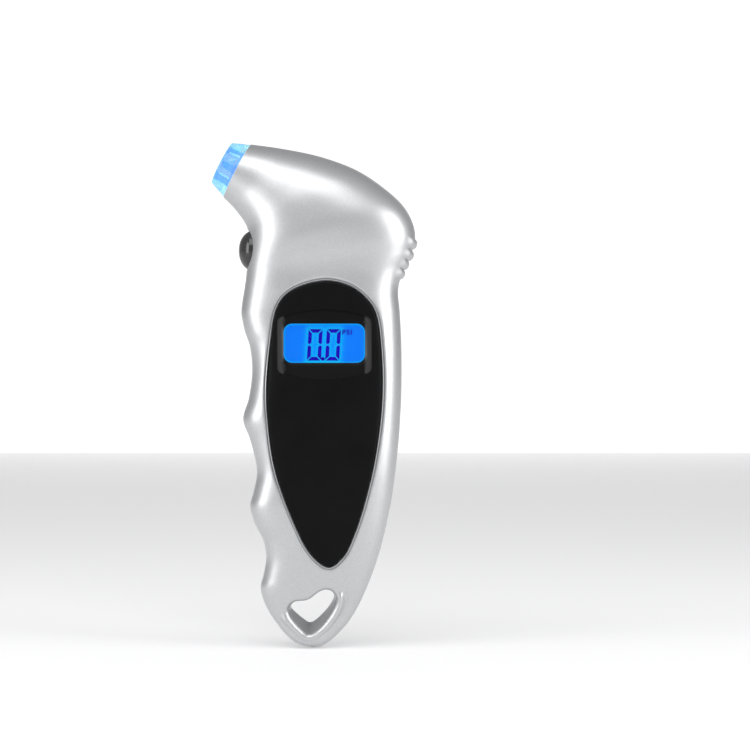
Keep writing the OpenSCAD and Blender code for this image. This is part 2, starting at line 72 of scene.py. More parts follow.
# ---------------------------------------------------------------------------
# Case halves. Two thin plastic mouldings, sprayed satin silver, that meet on the
# seam at Y = 0: finger grooves down the front edge, a bulbous head, thumb ribs.
# ---------------------------------------------------------------------------
# Each section: front x, front z, back x, back z and half thickness.
case_sections = np.array([
    [-24.2, 120.2, -16.75, 134.35, 8.0],
    [-21.4, 117.3, -8.0, 133.1, 9.2],
    [-19.0, 114.2, 2.0, 130.95, 11.1],
    [-17.75, 111.6, 11.6, 127.3, 12.6],
    [-17.5, 109.0, 19.6, 121.9, 13.3],
    [-17.6, 106.0, 24.6, 116.8, 13.42],
    [-17.85, 102.9, 27.0, 110.8, 12.75],
    [-18.1, 99.4, 26.2, 105.3, 11.8],
    [-18.6, 95.6, 23.9, 100.4, 11.4],
    [-19.2, 91.8, 22.5, 95.4, 11.6],
    [-19.37, 88.7, 22.9, 89.5, 11.9],
    [-18.45, 84.2, 23.2, 84.2, 12.2],
    [-17.1, 80.1, 23.35, 79.6, 12.35],
    [-16.52, 73.7, 23.4, 73.7, 12.4],
    [-17.4, 66.6, 23.3, 66.8, 12.35],
    [-18.93, 60.9, 23.0, 60.9, 12.2],
    [-17.0, 55.2, 22.6, 55.0, 12.0],
    [-15.25, 47.5, 21.8, 47.5, 11.7],
    [-16.15, 41.6, 21.05, 41.6, 11.3],
    [-17.05, 37.8, 20.4, 37.8, 11.0],
    [-15.8, 33.0, 19.4, 33.0, 10.5],
    [-13.6, 28.7, 18.4, 28.7, 9.95],
    [-12.77, 24.0, 17.1, 24.0, 9.35],
    [-13.5, 19.3, 15.55, 19.5, 8.7],
    [-14.28, 15.9, 14.05, 15.7, 8.1],
    [-13.4, 12.2, 12.3, 11.8, 7.3],
    [-11.7, 8.8, 9.9, 7.6, 6.4],
    [-9.1, 5.1, 7.4, 4.5, 5.8],
    [-6.1, 1.9, 4.6, 1.85, 5.0],
    [-3.0, 0.35, 2.2, 0.35, 3.2],
    [-0.9, 0.0, 0.3, 0.0, 0.9],
])
last_section = len(case_sections) - 1
wall = 2.0
seam = 0.04


def smooth_between(a, b, c, d, t):
    """A point on a smooth curve from b to c, with a and d as its neighbours."""
    return 0.5 * (
        2 * b + (c - a) * t + (2 * a - 5 * b + 4 * c - d) * t * t
        + (3 * b - a - 3 * c + d) * t * t * t
    )


def section_at(u):
    """The five numbers of the section at u, which counts sections from the nozzle."""
    u = np.clip(u, 0, last_section)
    i = np.minimum(u.astype(int), last_section - 1)
    rows = [
        case_sections[np.clip(i + k, 0, last_section)] for k in (-1, 0, 1, 2)
    ]
    return smooth_between(*rows, (u - i)[:, None])


def squareness(u):
    """The power in a section's curve: 1 is an ellipse and less is squarer."""
    return np.interp(u, [0, 1, 4, 8, 10, 20, 26, 30], [1, 0.98, 0.84, 0.64, 0.58, 0.58, 0.72, 0.9])


def angle_from(turn, e):
    """turn runs 0 to 2 from the front seam to the back seam, in nearly even steps."""
    q = np.where(turn <= 1, turn, 2 - turn)
    k = 1 / e
    part = q**k / (q**k + (1 - q)**k) * math.pi / 2
    return np.where(turn <= 1, part, math.pi - part)


def turn_from(angle, e):
    """The turn that angle_from takes to this angle."""
    q = np.clip(np.where(angle <= math.pi / 2, angle, math.pi - angle) / (math.pi / 2), 0, 1)
    part = q**e / (q**e + (1 - q)**e)
    return np.where(angle <= math.pi / 2, part, 2 - part)


def case_point(u, turn, inset=0.0):
    """A point on the case's outer surface, drawn in by inset, with y not below 0."""
    s = section_at(u)
    e = squareness(u)
    a = angle_from(turn, e)
    front, back = s[:, 0:2], s[:, 2:4]
    across = back - front
    across = across / np.linalg.norm(across, axis=1)[:, None]
    inset = np.broadcast_to(inset, u.shape)
    front = front + across * inset[:, None]
    back = back - across * inset[:, None]
    t = (1 - np.sign(np.cos(a)) * np.abs(np.cos(a))**e) / 2
    p = front + (back - front) * t[:, None]
    y = np.maximum(s[:, 4] - inset, 0.05) * np.maximum(np.sin(a), 0)**e
    return np.stack([p[:, 0], y, p[:, 1]], axis=1)


def case_normal(u, turn):
    """The case's outward direction at each point."""
    du, dt = 0.004, 0.002
    pu = case_point(np.minimum(u + du, last_section), turn) - case_point(np.maximum(u - du, 0), turn)
    pt = case_point(u, np.minimum(turn + dt, 2)) - case_point(u, np.maximum(turn - dt, 0))
    n = np.cross(pu, pt)
    n /= np.maximum(np.linalg.norm(n, axis=1), 1e-12)[:, None]
    s = section_at(u)
    middle = np.stack([(s[:, 0] + s[:, 2]) / 2, 0 * u, (s[:, 1] + s[:, 3]) / 2], axis=1)
    flip = np.sum(n * (case_point(u, turn) - middle), axis=1) < 0
    n[flip] *= -1
    return n


def locate(x, z):
    """The section and turn of the surface point that lies behind (x, z)."""
    low = np.zeros(len(x))
    high = np.full(len(x), float(last_section))
    for _ in range(44):
        mid = (low + high) / 2
        s = section_at(mid)
        bx, bz = s[:, 2] - s[:, 0], s[:, 3] - s[:, 1]
        beyond = bx * (z - s[:, 1]) - bz * (x - s[:, 0]) < 0
        low = np.where(beyond, mid, low)
        high = np.where(beyond, high, mid)
    u = (low + high) / 2
    s = section_at(u)
    bx, bz = s[:, 2] - s[:, 0], s[:, 3] - s[:, 1]
    t = np.clip(((x - s[:, 0]) * bx + (z - s[:, 1]) * bz) / (bx * bx + bz * bz), 0, 1)
    e = squareness(u)
    c = 1 - 2 * t
    a = np.arccos(np.clip(np.sign(c) * np.abs(c)**(1 / e), -1, 1))
    return u, turn_from(a, e)


# The surface unrolled flat: v grows along the case and w round it, in about mm.
u_steps = np.linspace(0, last_section, 1501)
edge_steps = np.diff(section_at(u_steps), axis=0)
v_steps = np.concatenate([[0], np.cumsum(np.maximum(
    np.hypot(edge_steps[:, 0], edge_steps[:, 1]),
    np.hypot(edge_steps[:, 2], edge_steps[:, 3]),
))])
w_per_turn = 28.0
w_end = 2 * w_per_turn


def v_at(u):
    return np.interp(u, u_steps, v_steps)


def unrolled(u, turn):
    return np.stack([v_at(u), turn * w_per_turn], axis=1)


def rolled(vw):
    return np.interp(vw[:, 0], v_steps, u_steps), np.clip(vw[:, 1] / w_per_turn, 0, 2)


def closed_curve(points, steps):
    """A smooth closed curve through the points, with this many steps between them."""
    points = np.array(points, float)
    n = len(points)
    out = []
    for i in range(n):
        for j in range(steps):
            out.append(smooth_between(
                points[i - 1], points[i], points[(i + 1) % n], points[(i + 2) % n], j / steps
            ))
    return np.array(out)


def outline_distance(x, z, outline):
    """Distance to a closed outline, less than 0 inside it."""
    a = outline
    b = np.roll(outline, -1, axis=0)
    best = np.full(len(x), 1e9)
    inside = np.zeros(len(x), bool)
    for (ax, az), (bx, bz) in zip(a, b):
        dx, dz = bx - ax, bz - az
        t = np.clip(((x - ax) * dx + (z - az) * dz) / (dx * dx + dz * dz), 0, 1)
        best = np.minimum(best, (x - ax - t * dx)**2 + (z - az - t * dz)**2)
        if az != bz:
            cross = (az > z) != (bz > z)
            inside ^= cross & (x < ax + (z - az) * dx / dz)
    return np.where(inside, -1, 1) * np.sqrt(best)


def grown(outline, by):
    """The outline pushed outwards along its own normals."""
    after, before = np.roll(outline, -1, axis=0), np.roll(outline, 1, axis=0)
    t = after - before
    t /= np.linalg.norm(t, axis=1)[:, None]
    n = np.stack([t[:, 1], -t[:, 0]], axis=1)
    area = np.sum(outline[:, 0] * after[:, 1] - after[:, 0] * outline[:, 1])
    return outline + n * (by if area > 0 else -by)


def evenly(outline, spacing):
    """A closed outline walked again in even steps."""
    ring = np.vstack([outline, outline[:1]])
    s = np.concatenate([[0], np.cumsum(np.linalg.norm(np.diff(ring, axis=0), axis=1))])
    count = max(int(s[-1] / spacing), 8)
    at = np.linspace(0, s[-1], count + 1)[:-1]
    return np.stack([np.interp(at, s, ring[:, 0]), np.interp(at, s, ring[:, 1])], axis=1)


def circle_outline(x, z, r, count=48):
    a = np.linspace(0, 2 * math.pi, count, endpoint=False)
    return np.stack([x + r * np.cos(a), z + r * np.sin(a)], axis=1)


def rounded_rectangle(x, z, w, h, r, spacing=0.5):
    out = []
    for cx, cz, start in ((1, 1, 0), (-1, 1, 90), (-1, -1, 180), (1, -1, 270)):
        for k in range(9):
            a = math.radians(start + k * 90 / 8)
            out.append((
                x + cx * (w / 2 - r) + r * math.cos(a),
                z + cz * (h / 2 - r) + r * math.sin(a),
            ))
    return evenly(np.array(out), spacing)


def lifted_solid(name, points, loops, keep, top, bottom):
    """A closed solid between two surfaces over one flat layout of triangles."""
    flat = [Vector(p) for p in points]
    edges = []
    for loop, closed in loops:
        first = len(flat)
        flat.extend(Vector(p) for p in loop)
        count = len(loop)
        edges.extend((first + i, first + i + 1) for i in range(count - 1))
        if closed:
            edges.append((first + count - 1, first))
    laid = delaunay_2d_cdt(flat, edges, [], 0, 1e-6)
    at = np.array([tuple(p) for p in laid[0]])
    faces = np.array([tuple(f) for f in laid[2] if len(f) == 3])
    faces = faces[keep(at[faces].mean(axis=1))]
    used, back = np.unique(faces, return_inverse=True)
    at, faces = at[used], back.reshape(-1, 3)
    upper = top(at)
    lower = bottom(at, upper)
    sides = np.vstack([faces[:, [0, 1]], faces[:, [1, 2]], faces[:, [2, 0]]])
    key = np.sort(sides, axis=1)
    _, index, counts = np.unique(key, axis=0, return_index=True, return_counts=True)
    rim = sides[index[counts == 1]]
    n = len(at)
    quads = np.stack([rim[:, 1], rim[:, 0], rim[:, 0] + n, rim[:, 1] + n], axis=1)
    all_faces = [tuple(f) for f in faces.tolist()]
    all_faces += [tuple(f) for f in (faces[:, ::-1] + n).tolist()]
    all_faces += [tuple(f) for f in quads.tolist()]
    mesh = bpy.data.meshes.new(name)
    mesh.from_pydata(np.vstack([upper, lower]) * 0.001, [], all_faces)
    return finished_piece(name, mesh, 38)


def finished_piece(name, mesh, sharp_degrees):
    """Welds the mesh, turns its faces outwards and makes it an object."""
    shape = bmesh.new()
    shape.from_mesh(mesh)
    bmesh.ops.remove_doubles(shape, verts=shape.verts, dist=2e-8)
    bmesh.ops.dissolve_degenerate(shape, edges=shape.edges, dist=1e-9)
    bmesh.ops.recalc_face_normals(shape, faces=shape.faces)
    shape.to_mesh(mesh)
    shape.free()
    mesh.shade_smooth()
    mesh.set_sharp_from_angle(angle=math.radians(sharp_degrees))
    return new_object(name, mesh)


# Outlines that cut or shape the case, all as seen from the display side.
panel_outline = evenly(closed_curve([
    [2.2, 97.3], [-5.7, 94.9], [-9.8, 90.0], [-11.4, 81.0], [-12.4, 70.0],
    [-12.1, 61.0], [-10.8, 50.5], [-8.4, 41.8], [-4.6, 32.2], [-1.0, 25.6],
    [3.7, 22.0], [7.5, 24.6], [9.9, 29.0], [12.7, 37.0], [15.5, 48.3],
    [17.3, 60.0], [17.9, 70.0], [17.5, 80.0], [16.4, 88.0], [13.9, 92.5],
    [9.05, 96.1],
], 10), 0.6)
heart_rim = closed_curve([
    [-6.6, 11.0], [-5.6, 12.1], [-4.07, 12.5], [-2.46, 12.6], [-1.13, 13.1],
    [0.0, 13.95], [1.2, 14.9], [2.6, 15.5], [3.9, 15.55], [5.1, 14.9],
    [5.75, 13.8], [5.75, 12.3], [4.6, 9.7], [2.95, 7.3], [0.75, 5.14],
    [-1.5, 4.05], [-3.8, 5.7], [-5.3, 7.2], [-6.6, 8.7], [-7.0, 9.9],
], 4)
heart_core = closed_curve([
    [-6.1, 11.1], [-5.2, 11.95], [-4.0, 12.24], [-2.46, 12.37], [-1.13, 12.9],
    [-0.05, 13.6], [1.1, 14.5], [2.3, 15.05], [3.5, 15.2], [4.7, 14.75],
    [5.4, 13.8], [5.1, 12.6], [4.1, 10.9], [2.6, 9.1], [0.7, 7.3],
    [-1.13, 6.35], [-3.0, 7.55], [-4.3, 8.6], [-5.4, 9.6], [-6.05, 10.4],
], 4)
bezel_x, bezel_z = 2.7, 81.0
bezel_w, bezel_h = 26.4, 20.4


def inside_both(outer, margin, w, h, r):
    """The rounded rectangle round the window, kept inside the panel's edge."""
    limit = grown(outer, -margin)
    box = rounded_rectangle(bezel_x, bezel_z, w, h, r, 0.3)
    a = np.linspace(0, 2 * math.pi, 240, endpoint=False)
    low, high = np.zeros(240), np.full(240, 20.0)
    for _ in range(24):
        reach = (low + high) / 2
        x, z = bezel_x + reach * np.cos(a), bezel_z + reach * np.sin(a)
        within = (outline_distance(x, z, limit) < 0) & (outline_distance(x, z, box) < 0)
        low, high = np.where(within, reach, low), np.where(within, high, reach)
    return evenly(np.stack([bezel_x + low * np.cos(a), bezel_z + low * np.sin(a)], axis=1), 0.5)


button_z = 105.9
button_r, button_spread, button_slip = 5.35, 0.95, 0.3
flange_front_x = -14.5
thumb_ribs = [(27.15, 107.4), (26.1, 104.3), (24.8, 101.8), (23.45, 99.5)]
rib_radius, rib_height = 1.18, 0.8
flange_clearance = 2.6
cover_x, cell_z, boss_z = 3.0, 46.5, 21.6
cover_parts = ((cell_z, 12.4), (boss_z, 4.3))
cover_slip = 0.2
# Round pockets in the back half: x, z, radius and the depth's y.
cell_pocket = (cover_x, cell_z, 10.35, 5.15)
boss_pocket = (cover_x, boss_z, 3.5, 5.5)
screw_pockets = [(13, 117, 2.6, 8.4), (17.6, 96, 2.6, 6.6), (17.6, 56, 2.6, 6.4), (3, 30.6, 2.6, 5.8)]
pockets = [cell_pocket, boss_pocket] + screw_pockets
cover_screw_hole = circle_outline(cover_x, boss_z, 1.4, 32)


def cover_outline(grow):
    """The battery cover's edge: a large and a small circle joined by tangents."""
    (top_z, top_r), (low_z, low_r) = cover_parts
    lean = math.asin((top_r - low_r) / (top_z - low_z))
    arcs = []
    for z, r, start, end, count in (
        (top_z, top_r, -lean, math.pi + lean, 60),
        (low_z, low_r, math.pi + lean, 2 * math.pi - lean, 24),
    ):
        a = np.linspace(start, end, count)
        arcs.append(np.stack([cover_x + (r + grow) * np.cos(a), z + (r + grow) * np.sin(a)], axis=1))
    return evenly(np.vstack(arcs), 0.6)


def button_distance(x, y, z):
    """Distance to the edge of the button's hole, on the finger side only."""
    off = np.maximum(np.abs(y) - button_spread, 0)
    d = np.hypot(off, z - button_z) - (button_r + button_slip)
    return np.where(x < -10, d, 1e3)


def button_arc(grow):
    """Half of the button hole's edge, laid on the unrolled surface."""
    r = button_r + button_slip + grow
    a = np.linspace(-math.pi / 2, math.pi / 2, 26)
    y = np.concatenate([[0], button_spread + r * np.cos(a), [0]])
    z = button_z + np.concatenate([[-r], r * np.sin(a), [r]])
    low, high = np.full(len(y), 2.0), np.full(len(y), 11.0)
    for _ in range(40):
        u = (low + high) / 2
        s = section_at(u)
        e = squareness(u)
        a2 = np.arcsin(np.clip(y / s[:, 4], 0, 1)**(1 / e))
        p = case_point(u, turn_from(a2, e))
        above = p[:, 2] > z
        low = np.where(above, u, low)
        high = np.where(above, high, u)
    return unrolled(u, turn_from(a2, e))


def wavering(distance, table):
    """A height read from (distance, height) pairs, straight between them."""
    at, value = zip(*table)
    return np.interp(distance, at, value)


def case_half(name, side):
    """side is -1 for the display half and 1 for the back half."""
    pitch = 0.72
    tail_reach = 4.6
    button_rows = (0, 0.15, 0.35, 0.6)
    rows = np.linspace(0, v_steps[-1], int(v_steps[-1] / pitch))
    columns = np.linspace(0, w_end, int(w_end / pitch))
    grid = np.stack(np.meshgrid(rows, columns, indexing="ij"), axis=2).reshape(-1, 2)
    # Closer points carry the thumb ribs and the bead round the tail opening.
    fine_rows = np.arange(v_at(5.4), v_at(8.9), 0.3)
    fine_columns = np.arange(1.42 * w_per_turn, w_end - 0.1, 0.45)
    ribs = np.stack(np.meshgrid(fine_rows, fine_columns, indexing="ij"), axis=2).reshape(-1, 2)
    tail = np.stack(np.meshgrid(
        np.arange(v_at(22.5), v_at(28.8), 0.36),
        np.arange(0.35 * w_per_turn, 1.75 * w_per_turn, 0.36), indexing="ij",
    ), axis=2).reshape(-1, 2)

    # Each ring is an outline and the distances from it at which edges are laid.
    rings = []
    if side < 0:
        rings.append((panel_outline, (1.35, 1.0, 0.86, 0.8, 0.64, 0.54, 0.44, 0.26, 0.18, 0.14)))
        hole = inside_both(panel_outline, 0.1, bezel_w, bezel_h, 1.6)
    else:
        rings.append((cover_outline(cover_slip), (0.35, 0.14, 0.03, 0.0)))
        for x, z, r, _ in pockets:
            rings.append((circle_outline(x, z, r), (0.3, 0.12, 0.02, -0.02)))
        hole = cover_screw_hole
    rings.append((hole, (0.0,)))
    rings.append((heart_rim, (4.2, 3.4, 2.8, 2.3, 1.9, 1.5, 1.1, 0.8, 0.5, 0.25, 0.1, 0.0)))

    def spot(vw):
        u, turn = rolled(vw)
        return case_point(u, turn)

    def clear_of_rings(points, margin):
        p = spot(points)
        ok = np.ones(len(points), bool)
        for outline, offsets in rings:
            d = outline_distance(p[:, 0], p[:, 2], outline)
            for off in offsets:
                ok &= np.abs(d - off) > margin
        d = button_distance(*p.T)
        for off in button_rows:
            ok &= np.abs(d - off) > margin
        return points[ok]

    p = spot(grid)
    near_rib = (grid[:, 0] > fine_rows[0]) & (grid[:, 0] < fine_rows[-1]) & (grid[:, 1] > fine_columns[0])
    near_tail = outline_distance(p[:, 0], p[:, 2], heart_rim) < tail_reach
    edge = (
        (grid[:, 0] == rows[0]) | (grid[:, 0] == rows[-1])
        | (grid[:, 1] == columns[0]) | (grid[:, 1] == columns[-1])
    )
    inner = grid[~(near_rib | near_tail | edge)]
    p = spot(tail)
    tail = tail[outline_distance(p[:, 0], p[:, 2], heart_rim) < tail_reach]
    inner = np.vstack([clear_of_rings(np.vstack([inner, ribs]), 0.22), clear_of_rings(tail, 0.12)])
    inner = inner[(inner[:, 1] > 0.9) & (inner[:, 1] < w_end - 0.9)]

    def line(v, w):
        return np.stack(np.broadcast_arrays(v, w), axis=1).astype(float)

    long_v = np.concatenate([rows[rows < fine_rows[0]], fine_rows, rows[rows > fine_rows[-1] + 0.2]])
    border = np.vstack([side_line[:-1] for side_line in (
        line(0.0, columns), line(long_v, w_end),
        line(v_steps[-1], columns[::-1]), line(long_v[::-1], 0.0),
    )])
    loops = [(border, True)]
    for offset in (0.12, 0.3, 0.5):
        loops += [(line(long_v, w), False) for w in (offset, w_end - offset)]
    for outline, offsets in rings:
        for off in offsets:
            ring = grown(outline, off)
            loops.append((unrolled(*locate(ring[:, 0], ring[:, 1])), True))
    for off in button_rows:
        loops.append((button_arc(off), False))

    def keep(centres):
        p = spot(centres)
        ok = outline_distance(p[:, 0], p[:, 2], heart_rim) > 0
        ok &= button_distance(*p.T) > 0
        ok &= outline_distance(p[:, 0], p[:, 2], hole) > 0
        return ok

    def top(vw):
        u, turn = rolled(vw)
        p = case_point(u, turn)
        n = case_normal(u, turn)
        x, z = p[:, 0].copy(), p[:, 2].copy()
        s = section_at(u)
        lift = wavering(button_distance(*p.T), [(0, -0.4), (0.15, -0.14), (0.35, -0.03), (0.6, 0)])
        # Thumb ribs: round bars across the back edge that fade out down the sides.
        along = np.array([0.42, 1.0])
        along /= np.linalg.norm(along)
        depth = np.hypot(x - s[:, 2], z - s[:, 3])
        for rx, rz in thumb_ribs:
            off = np.abs((x - rx) * along[0] + (z - rz) * along[1])
            bar = np.sqrt(np.clip(1 - (off / rib_radius)**2, 0, 1))
            fade = np.clip(1 - depth / 3.0, 0, 1)**0.8 * np.clip((7.6 - p[:, 1]) / 1.6, 0, 1)
            lift = np.maximum(lift, rib_height * bar * fade)
        # A raised bead runs round the lower half of the tail opening.
        d = outline_distance(x, z, heart_rim)
        bead = wavering(d, [
            (0, -1.2), (0.1, -0.78), (0.25, -0.38), (0.5, 0.12), (0.8, 0.48), (1.1, 0.64),
            (1.5, 0.56), (1.9, 0.2), (2.3, -0.24), (2.8, -0.46), (3.4, -0.24), (4.2, 0),
        ])
        plain = wavering(d, [
            (0, -1.5), (0.1, -1.1), (0.25, -0.8), (0.5, -0.45), (0.8, -0.25), (1.1, -0.16),
            (1.5, -0.09), (2.3, -0.03), (3.4, 0),
        ])
        # The valley outside the bead dies away where the bead meets the bottom edge.
        room = np.clip((z - 3.0) / 4.0, 0, 1)
        bead = np.where((d > 1.5) & (bead < 0), bead * room, bead)
        low = np.clip((0.42 * (x + 1) + 12.2 - z) / 2.6 + 0.2, 0, 1)
        low = low * low * (3 - 2 * low)
        lift += bead * low + plain * (1 - low)
        p = p + n * lift[:, None]
        # The two halves' edges are eased, which leaves a fine line along the seam.
        across = s[:, 2:4] - s[:, 0:2]
        across /= np.linalg.norm(across, axis=1)[:, None]
        ease = 0.17 * np.clip(1 - p[:, 1] / 0.32, 0, 1)**1.6
        ease *= np.where(turn < 1, 1, -1)
        p[:, 0] += across[:, 0] * ease
        p[:, 2] += across[:, 1] * ease
        if side < 0:
            d = outline_distance(x, z, panel_outline)
            p[:, 1] += wavering(d, [
                (0.14, -1.3), (0.18, -0.3), (0.26, -0.12), (0.44, -0.1), (0.54, -0.34),
                (0.64, -0.75), (0.8, -0.72), (0.86, -0.12), (1.0, -0.03), (1.35, 0),
            ])
        else:
            d = outline_distance(x, z, cover_outline(cover_slip))
            p[:, 1] += wavering(d, [(0, -1.85), (0.03, -0.3), (0.14, -0.08), (0.35, 0)])
            for cx, cz, r, level in pockets:
                d = np.hypot(x - cx, z - cz) - r
                p[:, 1] += wavering(d, [(0.02, -0.22), (0.12, -0.07), (0.3, 0)]) * (d > -0.01)
                p[:, 1] = np.where(d < -0.01, np.minimum(p[:, 1], level), p[:, 1])
        p[:, 1] = np.maximum(p[:, 1], 0) + seam
        p[:, 1] *= side
        return p

    def bottom(vw, upper):
        u, turn = rolled(vw)
        outer = case_point(u, turn)
        s = section_at(u)
        inner_p = case_point(u, turn, np.minimum(wall, 0.3 * s[:, 4]))
        d = outline_distance(outer[:, 0], outer[:, 2], heart_rim)
        land = np.clip((d - 1.6) / 2.0, 0, 1)
        shift = np.clip(d / 4, 0, 1)[:, None]
        p = outer + (inner_p - outer) * shift
        tip = np.clip((28 - u) / 1.5, 0, 1)
        p[:, 1] = inner_p[:, 1] * land * tip
        p[:, 1] = np.minimum(p[:, 1], np.maximum(np.abs(upper[:, 1]) - 1.15, 0))
        # The wall is thinned behind the button, which leaves room for its flange.
        behind = button_distance(*outer.T) < flange_clearance
        thinned = np.maximum(np.minimum(p[:, 0], flange_front_x - 0.25), outer[:, 0] + 0.4)
        p[:, 0] = np.where(behind, thinned, p[:, 0])
        p[:, 1:] = np.where(behind[:, None], outer[:, 1:], p[:, 1:])
        # Pocket and recess walls run straight in, so the inner face is not drawn sideways.
        if side > 0:
            straight = outline_distance(outer[:, 0], outer[:, 2], cover_outline(cover_slip)) < 1.0
            for cx, cz, r, _ in screw_pockets:
                straight |= np.hypot(outer[:, 0] - cx, outer[:, 2] - cz) < r + 1.0
            p[:, [0, 2]] = np.where(straight[:, None], upper[:, [0, 2]], p[:, [0, 2]])
        # The tail opening narrows from its rim to its core at the seam.
        for i in np.nonzero(d < 0.02)[0]:
            k = np.argmin(np.hypot(heart_rim[:, 0] - outer[i, 0], heart_rim[:, 1] - outer[i, 2]))
            after = (k + 1) % len(heart_rim)
            run = heart_rim[after] - heart_rim[k - 1]
            t = np.clip(np.dot(outer[i, [0, 2]] - heart_rim[k - 1], run) / np.dot(run, run), 0, 1)
            c = heart_core[k - 1] + (heart_core[after] - heart_core[k - 1]) * t
            p[i] = (c[0], 0, c[1])
        p[:, 1] = (np.maximum(p[:, 1], 0) + seam) * side
        return p

    return lifted_solid(name, inner, loops, keep, top, bottom)


front_case = case_half("silver_front_case", -1)
rear_case = case_half("silver_rear_case", 1)


def new_finish(name):
    """A material with one Principled shader, ready for its own nodes."""
    finish = bpy.data.materials.new(name)
    finish.use_nodes = True
    nodes, links = finish.node_tree.nodes, finish.node_tree.links
    return finish, nodes, links, nodes["Principled BSDF"]


def grain(nodes, links, scale, detail=3.0, stretch=(1, 1, 1)):
    """A noise pattern in the object's own space; returns its Fac output."""
    place = nodes.new("ShaderNodeTexCoord")
    turn = nodes.new("ShaderNodeMapping")
    turn.inputs["Scale"].default_value = stretch
    noise = nodes.new("ShaderNodeTexNoise")
    noise.inputs["Scale"].default_value = scale
    noise.inputs["Detail"].default_value = detail
    links.new(place.outputs["Object"], turn.inputs["Vector"])
    links.new(turn.outputs["Vector"], noise.inputs["Vector"])
    return noise.outputs["Fac"]


def blend_of(nodes, links, fac, low, high):
    """A colour between low and high that follows fac."""
    ramp = nodes.new("ShaderNodeValToRGB")
    ramp.color_ramp.elements[0].position = 0.3
    ramp.color_ramp.elements[1].position = 0.7
    ramp.color_ramp.elements[0].color = low
    ramp.color_ramp.elements[1].color = high
    links.new(fac, ramp.inputs["Fac"])
    return ramp.outputs["Color"]


def roughen(nodes, links, shader, fac, low, high):
    span = nodes.new("ShaderNodeMapRange")
    span.inputs["To Min"].default_value = low
    span.inputs["To Max"].default_value = high
    links.new(fac, span.inputs["Value"])
    links.new(span.outputs["Result"], shader.inputs["Roughness"])


def dent(nodes, links, shader, fac, strength, distance):
    bump = nodes.new("ShaderNodeBump")
    bump.inputs["Strength"].default_value = strength
    bump.inputs["Distance"].default_value = distance
    links.new(fac, bump.inputs["Height"])
    links.new(bump.outputs["Normal"], shader.inputs["Normal"])


def patterned(
    name, low, high, rough, scale, detail=3, stretch=(1, 1, 1), metal=0.0, bump=0.0, glow=0.0
):
    """A finish whose colour and roughness follow one fine pattern, and its shader."""
    finish, nodes, links, shader = new_finish(name)
    pattern = grain(nodes, links, scale, detail, stretch)
    tone = blend_of(nodes, links, pattern, (*low, 1), (*high, 1))
    links.new(tone, shader.inputs["Base Color"])
    shader.inputs["Metallic"].default_value = metal
    roughen(nodes, links, shader, pattern, *rough)
    if bump:
        dent(nodes, links, shader, pattern, bump, 0.00003)
    if glow:
        links.new(tone, shader.inputs["Emission Color"])
        shader.inputs["Emission Strength"].default_value = glow
    return finish, shader


# Metal-flake paint: fine sparkle in colour and roughness, very slight peel.
silver, shader = patterned(
    "satin_silver_paint", (0.5, 0.51, 0.52), (0.62, 0.63, 0.64), (0.34, 0.44), 5200, 2, metal=0.88
)
nodes, links = silver.node_tree.nodes, silver.node_tree.links
dent(nodes, links, shader, grain(nodes, links, 420, 2), 0.12, 0.00004)
for piece, node in ((front_case, "front_shell"), (rear_case, "rear_shell")):
    piece.data.materials.append(silver)
    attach(piece, "case")
    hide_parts(node)

# ---------------------------------------------------------------------------
# Face panel. A black moulded plate let into the display half, with a fine matt
# grain; a barrel-shaped dish slopes down from its face to the window opening.
# ---------------------------------------------------------------------------
window_w, window_h, window_r = 21.4, 10.3, 2.2
dish_depth_y = 11.25
panel_proud = 0.15
dish_half_w = 12.3
# The bowed top and bottom: height of each arc's centre above the window's, and radius.
dish_bows = ((-24.6, 33.4), (23.8, 33.6))
window_outline = rounded_rectangle(bezel_x, bezel_z, window_w, window_h, window_r, 0.45)
bezel_block = inside_both(panel_outline, 0.3, 26, 20, 1.4)


def barrel_outline():
    """Flat sides, bowed top and bottom, rounded where they meet."""
    rim = []
    for a in np.radians(np.arange(0, 360, 2.0)):
        dx, dz = math.cos(a), math.sin(a)
        reach = dish_half_w / abs(dx) if abs(dx) > 1e-9 else 40.0
        for cz, r in dish_bows:
            b = -dz * cz
            reach = min(reach, -b + math.sqrt(b * b - cz * cz + r * r))
        rim.append((bezel_x + reach * dx, bezel_z + reach * dz))
    rim = np.array(rim)
    for _ in range(3):
        rim = (np.roll(rim, 1, axis=0) + 2 * rim + np.roll(rim, -1, axis=0)) / 4
    return evenly(rim, 0.5)


dish_outline = barrel_outline()


def case_depth(x, z, inset):
    """How far the case's surface stands from the seam behind (x, z)."""
    u, turn = locate(x, z)
    return case_point(u, turn, inset)[:, 1]


def plate(name, outline, holes, rings, top, bottom, pitch=0.75):
    """A thin moulding whose two faces are depths over one flat outline."""
    low, high = outline.min(axis=0), outline.max(axis=0)
    gx, gz = np.meshgrid(np.arange(low[0], high[0], pitch), np.arange(low[1], high[1], pitch))
    points = np.stack([gx.ravel(), gz.ravel()], axis=1)
    ok = outline_distance(*points.T, outline) < -0.3
    loops = [(outline, True)]
    for ring, offsets in rings:
        d = outline_distance(*points.T, ring)
        for off in offsets:
            ok &= np.abs(d - off) > 0.25
            loops.append((grown(ring, off), True))
    for hole in holes:
        ok &= outline_distance(*points.T, hole) > 0.25
        loops.append((hole, True))

    def keep(centres):
        inside = outline_distance(*centres.T, outline) < 0
        for hole in holes:
            inside &= outline_distance(*centres.T, hole) > 0
        return inside

    return lifted_solid(name, points[ok], loops, keep, top, bottom)


